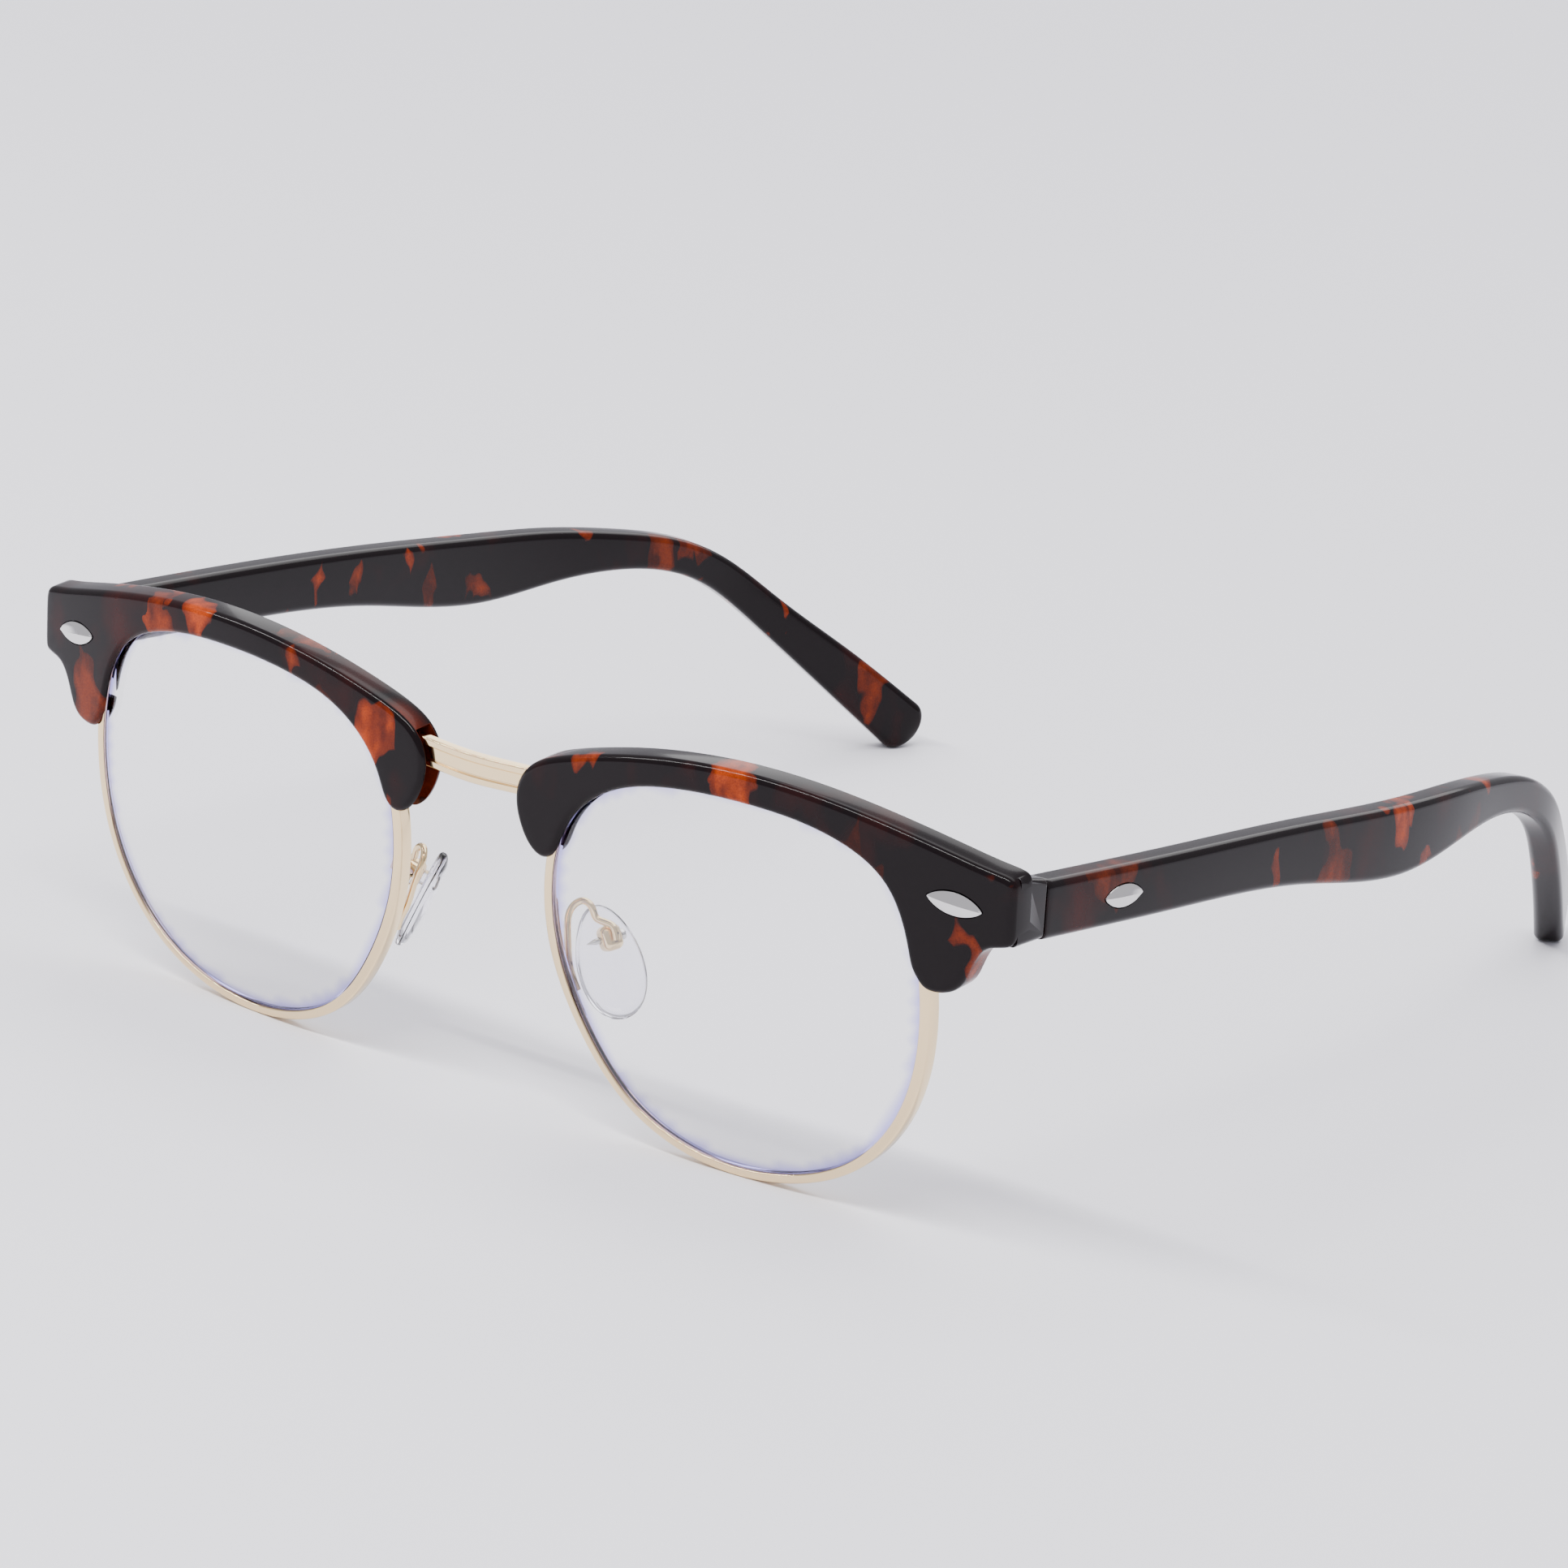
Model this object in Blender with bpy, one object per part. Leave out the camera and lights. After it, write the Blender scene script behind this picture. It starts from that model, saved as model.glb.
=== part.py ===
"""Browline eyeglasses: acetate brows over metal rims, hinged temples and tilting nose pads.

Sizes are in millimetres and become metres when a mesh is made. +X is the wearer's left, -Y the
way the wearer looks and +Z up. The glasses stand open on the rims' lowest points and the temple
tips. A front point is given as (u, v, w): u across, v up the leaning front and w back through it.
"""
import math

import bmesh
import bpy
import numpy as np
from mathutils import Vector

MM = 0.001
SIDES = {"left": 1.0, "right": -1.0}
CLEAR = 0.2                 # gap between pieces that seat on each other

# Front: overall sizes and form
EYE_WIDTH = 52.0            # outside of one rim, across
EYE_HEIGHT = 47.8           # outside of one rim, up
EYE_GAP = 21.4              # between the two rims at the nose
END_PIECE = 9.9             # from a rim's outer side to the side of the front
LEAN = math.radians(6.4)    # the front's top leans forward
FACE_RADIUS = 199.0         # wrap of the front
FACE_FLAT = 21.1            # the middle of the front is flat out to here
EYE_CENTRE_U = EYE_GAP / 2 + EYE_WIDTH / 2
EYE_CENTRE_V = EYE_HEIGHT / 2
FRONT_SIDE = EYE_GAP / 2 + EYE_WIDTH + END_PIECE

# The rim's outline, in half widths and half heights from the eye's centre
EYE_SHAPE = [(1.0, 0.05), (0.97, 0.42), (0.83, 0.76), (0.53, 0.94), (0.13, 1.0), (-0.30, 0.98),
             (-0.66, 0.87), (-0.90, 0.64), (-0.996, 0.30), (-0.965, -0.10), (-0.82, -0.47),
             (-0.56, -0.81), (-0.18, -0.985), (0.24, -0.98), (0.62, -0.81), (0.89, -0.46)]
RIM_WIDTH = 1.2
RIM_DEPTH = 2.0
RIM_CHAMFER = 0.2           # worn edges of the rim's face and back
GROOVE_DEPTH = 0.45
GROOVE_WIDTH = 1.1
RIM_SPLIT = 0.3             # the gap that the closing screw pulls shut
SPLIT_V = 0.755 * EYE_HEIGHT

# Closing barrel on the rim's outer side
LOCK_WIDTH = 2.1            # out from the rim's widest place
LOCK_HALF = 2.0             # height of each closing block
LOCK_FRONT = 0.3
LOCK_BACK = 2.8
LOCK_BORE = 0.6
LOCK_OUTER_U = EYE_GAP / 2 + EYE_WIDTH + LOCK_WIDTH
LOCK_AXIS_U = LOCK_OUTER_U - 1.2
LOCK_AXIS_W = (LOCK_FRONT + LOCK_BACK) / 2

LENS_THICK = 1.4
LENS_BEVEL = 0.4            # how far the lens edge reaches into the groove
LENS_GAP = 0.15             # between the lens and the rim's inner face

# Brow: a channel of acetate over the top of each rim
BROW_PROUD = 0.8            # front flange ahead of the rim's face
BROW_DEPTH = 3.6            # front face to back face
BROW_BACK = BROW_DEPTH - BROW_PROUD
BROW_ROUND = 0.8            # rounding of the front edges
BROW_BACK_ROUND = 0.4
BROW_LIP = 1.7              # how far the brow reaches in over the rim
BROW_NOSE = [(-0.93, 0.41), (-0.975, 0.375), (-1.045, 0.40), (-1.11, 0.49), (-1.15, 0.62),
             (-1.14, 0.73), (-1.08, 0.82), (-0.96, 0.89), (-0.78, 0.95), (-0.55, 1.01),
             (-0.26, 1.06), (0.07, 1.08), (0.40, 1.06), (0.70, 1.01), (0.99, 0.94), (1.22, 0.875)]
BROW_NECK = [(1.25, 0.485), (1.21, 0.42), (1.18, 0.34), (1.15, 0.27), (1.10, 0.23), (1.04, 0.22),
             (0.985, 0.225), (0.955, 0.27)]
BROW_NOSE_END = 0.45        # heights where the brow's inner edge stops
BROW_NECK_END = 0.32

# End piece that turns back to the hinge
LUG_TOP_V = 0.918 * EYE_HEIGHT
LUG_HEIGHT = 7.9
LUG_THICK = 4.7
LUG_REACH = 3.55            # its back face behind the brow's back

# Bridge between the rims
BRIDGE_BOTTOM_V = 0.822 * EYE_HEIGHT
BRIDGE_HEIGHT = 3.4
BRIDGE_MIDDLE_V = BRIDGE_BOTTOM_V + BRIDGE_HEIGHT / 2
BRIDGE_THICK = 1.2
BRIDGE_SET_BACK = 0.35
BRIDGE_BOW = 0.9            # the middle stands this far forward
BRIDGE_RIDGE = 0.25         # the ridges stand this far ahead of the face
BRIDGE_RIDGE_WIDTH = 0.8
BROW_SCREW_U = EYE_GAP / 2 - 0.8

# Temples
TEMPLE_THICK = 3.8
TEMPLE_ROUND = 1.0
TEMPLE_GAP = 0.2            # between the end piece and the temple, when open
TEMPLE_REACH = 139.4        # from the hinge gap to the last station
TEMPLE_START_Z = LUG_TOP_V - 4.55
TEMPLE_END_Z = 3.25
# Stations: inset from the front's side, share of the reach, share of the drop left, depth
TEMPLE_STATIONS = [(0.0, 0.0, 1.0, 6.9), (-0.8, 0.17, 0.956, 6.8), (-0.8, 0.36, 0.89, 7.4),
                   (-0.2, 0.52, 0.81, 8.7), (1.2, 0.61, 0.804, 6.8), (3.3, 0.69, 0.782, 5.0),
                   (5.2, 0.762, 0.721, 4.5), (7.0, 0.82, 0.608, 4.5), (10.0, 0.875, 0.437, 4.9),
                   (14.4, 0.94, 0.217, 6.2), (18.8, 1.0, 0.0, 7.0)]

# Screws
PIN_RADIUS = 0.45
PIN_CLEAR = 0.1
HEAD_RADIUS = 0.95
HEAD_HEIGHT = 0.5

# Temple hinge
KNUCKLES = 5
KNUCKLE_GAP = 0.15
BARREL_RADIUS = 1.1
LEAF_THICK = 0.7
FRONT_LEAF_WIDTH = 3.3
TEMPLE_LEAF_LENGTH = 7.0
HINGE_U = (FRONT_SIDE - max(LUG_THICK, TEMPLE_THICK + LEAF_THICK + CLEAR) - CLEAR
           - BARREL_RADIUS)
HINGE_LOW = LUG_TOP_V - LUG_HEIGHT + 1.2
HINGE_HIGH = LUG_TOP_V - 2.5

# Oval rivets
RIVET_LENGTH = 6.7
RIVET_HEIGHT = 2.6
RIVET_PROUD = 0.45
RIVET_SEAT = 0.5
RIVET_EDGE = 0.1            # height of the rim round the rivet
RIVET_GAP = 0.15            # round the rivet in its seat
FRONT_RIVET_U = FRONT_SIDE - 6.8
FRONT_RIVET_V = LUG_TOP_V - 3.7
FRONT_RIVET_TILT = 0.14     # its outer end sits lower
TEMPLE_RIVET_Y = 13.6       # behind the hinge gap

# Nose pads
PAD_LENGTH = 13.4
PAD_WIDTH = 8.0
PAD_THICK = 1.9
PAD_U = EYE_GAP / 2 + 4.3           # middle of the pad box
PAD_V = 0.457 * EYE_HEIGHT
PAD_W = 7.2
PAD_FACING = (-0.80, 0.456, -0.39)  # way the pad faces, toward the nose
PAD_UP = (-0.443, 0.014, 0.90)      # rough line up the pad
PAD_DROP = 2.7                      # the pad's middle below its pivot
PAD_STAND_OFF = 1.5                 # pivot to the pad's back
PAD_BOX = (2.5, 3.0, 1.1)           # across, up, pivot to the box's mouth
PAD_BOX_WALL = 0.4
BOSS = (1.2, 1.7)
PAD_PIN_RADIUS = 0.35
ARM_RADIUS = 0.42
ARM_FOOT_V = PAD_V - 5.2            # foot of the wire on the rim's back
ARM_ROOT_V = PAD_V - 3.6
ARM_W = RIM_DEPTH + CLEAR + ARM_RADIUS
# The wire's loop, from the pad box's middle
ARM_LOOP = [(-2.4, -4.0, -2.7), (-2.9, -3.8, -0.7), (-3.4, -3.5, 1.5), (-3.5, -2.7, 3.4),
            (-2.6, -1.9, 4.2), (-1.5, -1.6, 3.6), (-1.0, -1.4, 2.5)]

COLOURS = {
    "tortoise": ((0.075, 0.022, 0.016), 0.08, 0.0),
    "gold": ((0.90, 0.76, 0.58), 0.12, 1.0),
    "steel": ((0.72, 0.71, 0.70), 0.12, 1.0),
    "lens": ((0.90, 0.91, 0.97), 0.02, 0.0),
    "clear": ((0.90, 0.90, 0.93), 0.10, 0.0),
}


# ---------------------------------------------------------------- curves and places

def smooth_curve(points, count, closed=False):
    """Cubic spline through the points, spaced by chord length."""
    pts = np.asarray(points, float)
    if closed:
        pts = np.vstack([pts[-4:], pts, pts[:5]])
    knots = np.concatenate([[0.0], np.cumsum(np.linalg.norm(np.diff(pts, axis=0), axis=1))])
    gaps = np.diff(knots)
    size = len(pts)
    system = np.eye(size)
    right = np.zeros_like(pts)
    for i in range(1, size - 1):
        system[i, i - 1:i + 2] = gaps[i - 1], 2 * (gaps[i - 1] + gaps[i]), gaps[i]
        right[i] = 6 * ((pts[i + 1] - pts[i]) / gaps[i] - (pts[i] - pts[i - 1]) / gaps[i - 1])
    bend = np.linalg.solve(system, right)
    start, end = (knots[4], knots[-5]) if closed else (knots[0], knots[-1])
    at = np.linspace(start, end, count, endpoint=not closed)
    i = np.clip(np.searchsorted(knots, at, side="right") - 1, 0, size - 2)
    h = gaps[i][:, None]
    a = (knots[i + 1] - at)[:, None] / h
    b = 1 - a
    return a * pts[i] + b * pts[i + 1] + ((a ** 3 - a) * bend[i] + (b ** 3 - b) * bend[i + 1]) * h * h / 6


def offset_loop(loop, inset):
    """Move a counter-clockwise loop of (u, v) points inward by inset."""
    before = loop - np.roll(loop, 1, axis=0)
    after = np.roll(loop, -1, axis=0) - loop
    before /= np.linalg.norm(before, axis=1)[:, None]
    after /= np.linalg.norm(after, axis=1)[:, None]
    inward = np.stack([-(before + after)[:, 1], (before + after)[:, 0]], axis=1)
    inward /= np.linalg.norm(inward, axis=1)[:, None]
    half = np.sqrt(np.clip((1 + (before * after).sum(1)) / 2, 0.25, 1.0))
    return loop + inward * (inset / half)[:, None]


def face_sag(u, v):
    """How far back the front's curved face lies at (u, v)."""
    def rise(across, up):
        return (max(abs(across) - FACE_FLAT, 0.0) ** 2 + (up - EYE_CENTRE_V) ** 2) / (2 * FACE_RADIUS)
    return rise(u, v) - rise(EYE_CENTRE_U, 0.0)


def front_point(u, v, w, side=1.0):
    """Place a point of the front, w behind the rims' front face."""
    back = face_sag(u, v) + w
    return (side * u, back * math.cos(LEAN) - v * math.sin(LEAN),
            v * math.cos(LEAN) + back * math.sin(LEAN))


# Places that follow the front's curve
LUG_BACK = front_point(FRONT_SIDE - LUG_THICK, LUG_TOP_V - LUG_HEIGHT, BROW_BACK)[1] + LUG_REACH
HINGE_Y = LUG_BACK + 0.5
PAD_PIVOT = front_point(PAD_U, PAD_V, PAD_W)


def front_ring(loop, w, side):
    return [front_point(u, v, w, side) for u, v in loop]


def eye_points(shape):
    half = np.array([EYE_WIDTH / 2, EYE_HEIGHT / 2])
    return np.asarray(shape, float) * half + np.array([EYE_CENTRE_U, EYE_CENTRE_V])


def rim_outline(count):
    return smooth_curve(eye_points(EYE_SHAPE), count, closed=True)


def rim_u(v, outer):
    """Across place of the rim's outline at height v, on its outer or nose side."""
    loop = rim_outline(400)
    half = loop[(loop[:, 0] > EYE_CENTRE_U) == outer]
    return float(half[np.argmin(np.abs(half[:, 1] - v)), 0])


# ---------------------------------------------------------------- making objects

def material(name):
    """The material of a finish, made once."""
    found = bpy.data.materials.get(name)
    if found:
        return found
    colour, rough, metal = COLOURS[name]
    made = bpy.data.materials.new(name)
    made.use_nodes = True
    shader = made.node_tree.nodes["Principled BSDF"]
    shader.inputs["Base Color"].default_value = (*colour, 1.0)
    shader.inputs["Roughness"].default_value = rough
    shader.inputs["Metallic"].default_value = metal
    if name in ("lens", "clear"):
        shader.inputs["Transmission Weight"].default_value = 0.95
    return made


def make(name, points, faces, finish, origin=(0.0, 0.0, 0.0)):
    """An object from millimetre points, with its origin at the given place."""
    mesh = bpy.data.meshes.new(name)
    moved = (np.asarray(points, float) - np.asarray(origin, float)) * MM
    mesh.from_pydata([tuple(p) for p in moved], [], faces)
    work = bmesh.new()
    work.from_mesh(mesh)
    bmesh.ops.triangulate(work, faces=work.faces[:], ngon_method="EAR_CLIP")
    bmesh.ops.recalc_face_normals(work, faces=work.faces[:])
    work.to_mesh(mesh)
    work.free()
    mesh.shade_smooth()
    mesh.set_sharp_from_angle(angle=math.radians(35))
    mesh.materials.append(material(finish))
    made = bpy.data.objects.new(name, mesh)
    made.location = Vector(origin) * MM
    bpy.context.scene.collection.objects.link(made)
    return made


def loft(name, rings, finish, around=False, origin=(0.0, 0.0, 0.0)):
    """Skin equal rings of points, closed on itself or capped at both ends."""
    size = len(rings[0])
    count = len(rings)
    faces = []
    for i in range(count if around else count - 1):
        here, there = i * size, ((i + 1) % count) * size
        for j in range(size):
            k = (j + 1) % size
            faces.append((here + j, here + k, there + k, there + j))
    if not around:
        faces.append(tuple(range(size)))
        faces.append(tuple(range((count - 1) * size, count * size)))
    return make(name, [p for ring in rings for p in ring], faces, finish, origin)


def slab(name, loop, layers, side, finish):
    """A plate of the front: one outline, inset and set back as each (inset, w) layer says."""
    rings = [front_ring(offset_loop(loop, inset), w, side) for inset, w in layers]
    return loft(name, rings, finish)


def box(name, low, high, finish, side=1.0, origin=(0.0, 0.0, 0.0)):
    xs = (side * low[0], side * high[0])
    rings = [[(x, low[1], low[2]), (x, high[1], low[2]), (x, high[1], high[2]), (x, low[1], high[2])]
             for x in xs]
    return loft(name, rings, finish, origin=origin)


def turned(name, centre, axis, profile, finish, sides=12, origin=(0.0, 0.0, 0.0)):
    """A turned piece: profile gives (distance along the axis, radius)."""
    along = np.asarray(axis, float) / np.linalg.norm(axis)
    helper = np.array([0.0, 0.0, 1.0]) if abs(along[2]) < 0.9 else np.array([1.0, 0.0, 0.0])
    first = np.cross(along, helper)
    first /= np.linalg.norm(first)
    second = np.cross(along, first)
    angles = [2 * math.pi * i / sides for i in range(sides)]
    rings = [[np.asarray(centre) + along * s + r * (math.cos(a) * first + math.sin(a) * second)
              for a in angles] for s, r in profile]
    return loft(name, rings, finish, origin=origin)


def combine(target, tool, operation):
    """Join a tool to an object, or cut it away, and keep the tool as a hidden guide."""
    step = target.modifiers.new(tool.name, "BOOLEAN")
    step.operation = operation
    step.solver = "EXACT"
    step.object = tool
    tool.hide_render = True
    tool.display_type = "WIRE"


def join(target, tool):
    combine(target, tool, "UNION")


def cut(target, tool):
    combine(target, tool, "DIFFERENCE")


# ---------------------------------------------------------------- rims, lenses and bridge

def make_rim(side_name, side):
    """A grooved eyewire, open at the split that the closing screw pulls shut."""
    count = 360
    loop = rim_outline(count)
    outer = np.where(loop[:, 0] > EYE_CENTRE_U, np.abs(loop[:, 1] - SPLIT_V), np.inf)
    loop = np.roll(loop, -int(np.argmin(outer)), axis=0)
    profile = [(0.0, RIM_CHAMFER), (0.0, RIM_DEPTH - RIM_CHAMFER), (RIM_CHAMFER, RIM_DEPTH),
               (RIM_WIDTH, RIM_DEPTH), (RIM_WIDTH, (RIM_DEPTH + GROOVE_WIDTH) / 2),
               (RIM_WIDTH - GROOVE_DEPTH, RIM_DEPTH / 2), (RIM_WIDTH, (RIM_DEPTH - GROOVE_WIDTH) / 2),
               (RIM_WIDTH, 0.0), (RIM_CHAMFER, 0.0)]
    insets = [offset_loop(loop, inset) for inset, _ in profile]
    start = RIM_SPLIT / 2 / (np.linalg.norm(loop[1] - loop[0]))
    stations = np.linspace(start, count - start, 53)
    rings = []
    for place in stations:
        low = int(place)
        part = place - low
        rings.append([front_point(*((1 - part) * inset[low % count] + part * inset[(low + 1) % count]),
                                  w, side) for inset, (_, w) in zip(insets, profile)])
    return loft(f"rim_{side_name}", rings, "gold")


def make_lens(side_name, side):
    """A curved lens whose bevelled edge sits in the rim's groove."""
    loop = rim_outline(40)
    edge = RIM_WIDTH + LENS_GAP
    front = (RIM_DEPTH - LENS_THICK) / 2
    centre = np.array([EYE_CENTRE_U, EYE_CENTRE_V])
    rim_edge = offset_loop(loop, edge)
    face = [centre + (rim_edge - centre) * share for share in (0.15, 0.45, 0.75, 1.0)]
    rings = [front_ring(ring, front, side) for ring in face]
    rings.append(front_ring(offset_loop(loop, edge - LENS_BEVEL), RIM_DEPTH / 2, side))
    rings += [front_ring(ring, front + LENS_THICK, side) for ring in reversed(face)]
    return loft(f"lens_{side_name}", rings, "lens")


def make_bridge():
    """The bowed bar that joins the rims, with a ridge along its top and bottom edges."""
    half = BRIDGE_HEIGHT / 2
    end_gap = 0.35
    ridge = [(-half, 0.2), (-half + 0.2, 0.0), (-half + BRIDGE_RIDGE_WIDTH, 0.0),
             (-half + BRIDGE_RIDGE_WIDTH + 0.15, BRIDGE_RIDGE)]
    face = ridge + [(-v, w) for v, w in reversed(ridge)]
    profile = face + [(half, BRIDGE_THICK), (-half, BRIDGE_THICK)]
    reaches = [rim_u(BRIDGE_MIDDLE_V + v, False) - end_gap for v, _ in profile]
    rings = []
    for share in np.linspace(-1.0, 1.0, 19):
        bow = BRIDGE_BOW * (math.cos(math.pi * min(abs(share) / 0.75, 1.0)) + 1) / 2
        rings.append([front_point(share * reach, BRIDGE_MIDDLE_V + v, BRIDGE_SET_BACK + w - bow)
                      for reach, (v, w) in zip(reaches, profile)])
    bridge = loft("bridge", rings, "gold")
    for side_name, side in SIDES.items():
        cut(bridge, front_hole(f"bridge_hole_{side_name}", side, 0.0, BROW_BACK))
    return bridge


def front_hole(name, side, start, end):
    """The brow screw's hole, from start to end behind the rims' face."""
    near = np.array(front_point(BROW_SCREW_U, BRIDGE_MIDDLE_V, start, side))
    far = np.array(front_point(BROW_SCREW_U, BRIDGE_MIDDLE_V, end, side))
    radius = PIN_RADIUS + PIN_CLEAR
    return turned(name, near, far - near, [(0.0, radius), (end - start, radius)], "steel")


def screw_profile(length, head_at_end=True):
    """A pin with a chamfered head at its end, or at its start."""
    shape = [(0.0, PIN_RADIUS), (length, PIN_RADIUS), (length, HEAD_RADIUS),
             (length + HEAD_HEIGHT * 0.6, HEAD_RADIUS), (length + HEAD_HEIGHT, HEAD_RADIUS * 0.75)]
    return shape if head_at_end else [(length - s, r) for s, r in reversed(shape)]


def make_brow_screw(side_name, side):
    """The small screw that holds the brow to the bridge's end, put in from behind."""
    start = np.array(front_point(BROW_SCREW_U, BRIDGE_MIDDLE_V, RIM_DEPTH * 0.3, side))
    end = np.array(front_point(BROW_SCREW_U, BRIDGE_MIDDLE_V, BROW_BACK + CLEAR, side))
    length = float(np.linalg.norm(end - start))
    turned(f"brow_screw_{side_name}", start, end - start, screw_profile(length), "steel")


def lock_block(name, side, low_v, high_v):
    """One half of the rim's closing barrel, drilled for its screw."""
    rim_gap = 0.25
    loop = np.array([(rim_u(low_v, True) + rim_gap, low_v), (LOCK_OUTER_U, low_v),
                     (LOCK_OUTER_U, high_v), (rim_u(high_v, True) + rim_gap, high_v)])
    block = slab(name, loop, [(0.0, LOCK_FRONT), (0.0, LOCK_BACK)], side, "gold")
    beyond = 2 * LOCK_HALF
    low = np.array(front_point(LOCK_AXIS_U, SPLIT_V - beyond, LOCK_AXIS_W, side))
    high = np.array(front_point(LOCK_AXIS_U, SPLIT_V + beyond, LOCK_AXIS_W, side))
    cut(block, turned(f"{name}_bore", low, high - low, [(0.0, LOCK_BORE), (2 * beyond, LOCK_BORE)],
                      "steel"))


def make_lock(side_name, side):
    """The closing barrel behind the end piece: two blocks and the screw through them."""
    half_gap = RIM_SPLIT / 2
    lock_block(f"rim_lock_lower_{side_name}", side, SPLIT_V - half_gap - LOCK_HALF, SPLIT_V - half_gap)
    lock_block(f"rim_lock_upper_{side_name}", side, SPLIT_V + half_gap, SPLIT_V + half_gap + LOCK_HALF)
    low = np.array(front_point(LOCK_AXIS_U, SPLIT_V - LOCK_HALF - 2 * CLEAR, LOCK_AXIS_W, side))
    high = np.array(front_point(LOCK_AXIS_U, SPLIT_V + LOCK_HALF, LOCK_AXIS_W, side))
    length = float(np.linalg.norm(high - low))
    turned(f"rim_screw_{side_name}", low, high - low, screw_profile(length, False), "steel")


# ---------------------------------------------------------------- brows

def brow_outline():
    """The brow seen from the front, counter-clockwise."""
    nose = smooth_curve(eye_points(BROW_NOSE), 30)[::-1]
    neck = smooth_curve(eye_points(BROW_NECK), 12)[::-1]
    rim = offset_loop(rim_outline(120), BROW_LIP)
    low_v = EYE_CENTRE_V + EYE_HEIGHT / 2 * np.where(rim[:, 0] > EYE_CENTRE_U, BROW_NECK_END,
                                                     BROW_NOSE_END)
    first = int(np.argmin(rim[:, 1]))
    rim = np.roll(rim, -first, axis=0)
    low_v = np.roll(low_v, -first)
    inner = rim[rim[:, 1] > low_v][::2][::-1]
    lug_low = LUG_TOP_V - LUG_HEIGHT
    side = np.array([(FRONT_SIDE - 1.4, lug_low - 0.15), (FRONT_SIDE, lug_low),
                     (FRONT_SIDE, LUG_TOP_V)])
    return np.vstack([inner, neck, side, nose])


def quarter_round(radius, count):
    """Inset and set-back of a rounded edge, from the flat face to the side."""
    turns = [math.pi / 2 * i / count for i in range(count + 1)]
    return [(radius * (1 - math.sin(t)), radius * (1 - math.cos(t))) for t in turns]


def make_brow(side_name, side):
    """The acetate channel with its end piece, slotted for the rim and pocketed for the barrel."""
    layers = [(inset, -BROW_PROUD + deep) for inset, deep in quarter_round(BROW_ROUND, 3)]
    layers += [(inset, BROW_BACK - deep) for inset, deep in reversed(quarter_round(BROW_BACK_ROUND, 1))]
    brow = slab(f"brow_{side_name}", brow_outline(), layers, side, "tortoise")

    lug_front = RIM_DEPTH * 0.6
    lug_low = LUG_TOP_V - LUG_HEIGHT + CLEAR
    lug_high = LUG_TOP_V - 0.7
    lug = [[(side * x, lug_front, lug_low), (side * x, LUG_BACK, lug_low), (side * x, LUG_BACK, lug_high),
            (side * x, lug_front, lug_high + 1.1)] for x in (FRONT_SIDE - LUG_THICK, FRONT_SIDE - 0.05)]
    join(brow, loft(f"brow_lug_{side_name}", lug, "tortoise"))

    seat = [(0.0, -CLEAR), (0.0, RIM_DEPTH + CLEAR)]
    inward = 8.0
    channel = [(inward, seat[0][1]), (-CLEAR, seat[0][1]), (-CLEAR, seat[1][1]), (inward, seat[1][1])]
    cut(brow, slab(f"brow_slot_{side_name}", rim_outline(72), channel, side, "tortoise"))

    top = BRIDGE_BOTTOM_V + BRIDGE_HEIGHT + 0.7
    low = BRIDGE_BOTTOM_V - 9.0
    near = EYE_GAP / 10
    reach = rim_u(top, False)
    mouth = np.array([(near, low), (reach - 1.2, low), (reach + 1.2, top), (near, top)])
    cut(brow, slab(f"brow_mouth_{side_name}", mouth, seat, side, "tortoise"))

    inner = rim_u(SPLIT_V, True) - RIM_WIDTH
    outer = LOCK_OUTER_U + 0.3
    low, high = SPLIT_V - LOCK_HALF - HEAD_HEIGHT - 4 * CLEAR, SPLIT_V + LOCK_HALF + 3 * CLEAR
    pocket = np.array([(inner, low), (outer, low), (outer, high), (inner, high)])
    cut(brow, slab(f"brow_pocket_{side_name}", pocket, [(0.0, 0.0), (0.0, 2 * BROW_BACK)], side,
                   "tortoise"))
    cut(brow, front_hole(f"brow_hole_{side_name}", side, BROW_BACK / 2, 2 * BROW_BACK))
    cut(brow, rivet_seat(f"front_rivet_seat_{side_name}", *front_rivet_frame(side)))


# ---------------------------------------------------------------- rivets

def rivet(name, centre, along, out, low, high, grow, ridge=0.0):
    """A pointed oval from low to high above the surface, with a ridge along its length."""
    centre, along, out = (np.asarray(a, float) for a in (centre, along, out))
    along /= np.linalg.norm(along)
    out /= np.linalg.norm(out)
    up = np.cross(out, along)
    stations = np.linspace(-1.0, 1.0, 9)
    rings = []
    for share in stations:
        swell = (1 - share ** 2) ** 0.8
        wide = (RIVET_HEIGHT / 2 + grow) * swell + 0.08
        crest = high + ridge * swell
        middle = centre + along * share * (RIVET_LENGTH / 2 + grow)
        rings.append([middle - up * wide + out * low, middle - up * wide + out * high,
                      middle + out * crest, middle + up * wide + out * high,
                      middle + up * wide + out * low])
    return loft(name, rings, "steel")


def rivet_head(name, centre, along, out):
    rivet(name, centre, along, out, CLEAR - RIVET_SEAT, RIVET_EDGE, 0.0, RIVET_PROUD - RIVET_EDGE)


def rivet_seat(name, centre, along, out):
    return rivet(name, centre, along, out, -RIVET_SEAT, 2.0, RIVET_GAP)


def front_rivet_frame(side):
    """Centre, line and outward way of the rivet on the end piece."""
    centre = np.array(front_point(FRONT_RIVET_U, FRONT_RIVET_V, -BROW_PROUD, side))
    beyond = np.array(front_point(FRONT_RIVET_U + 1, FRONT_RIVET_V, -BROW_PROUD, side))
    above = np.array(front_point(FRONT_RIVET_U, FRONT_RIVET_V + 1, -BROW_PROUD, side))
    out = np.cross((beyond - centre) * side, above - centre)
    along = (beyond - centre) * side - (above - centre) * FRONT_RIVET_TILT * side
    return centre, along, out


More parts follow.
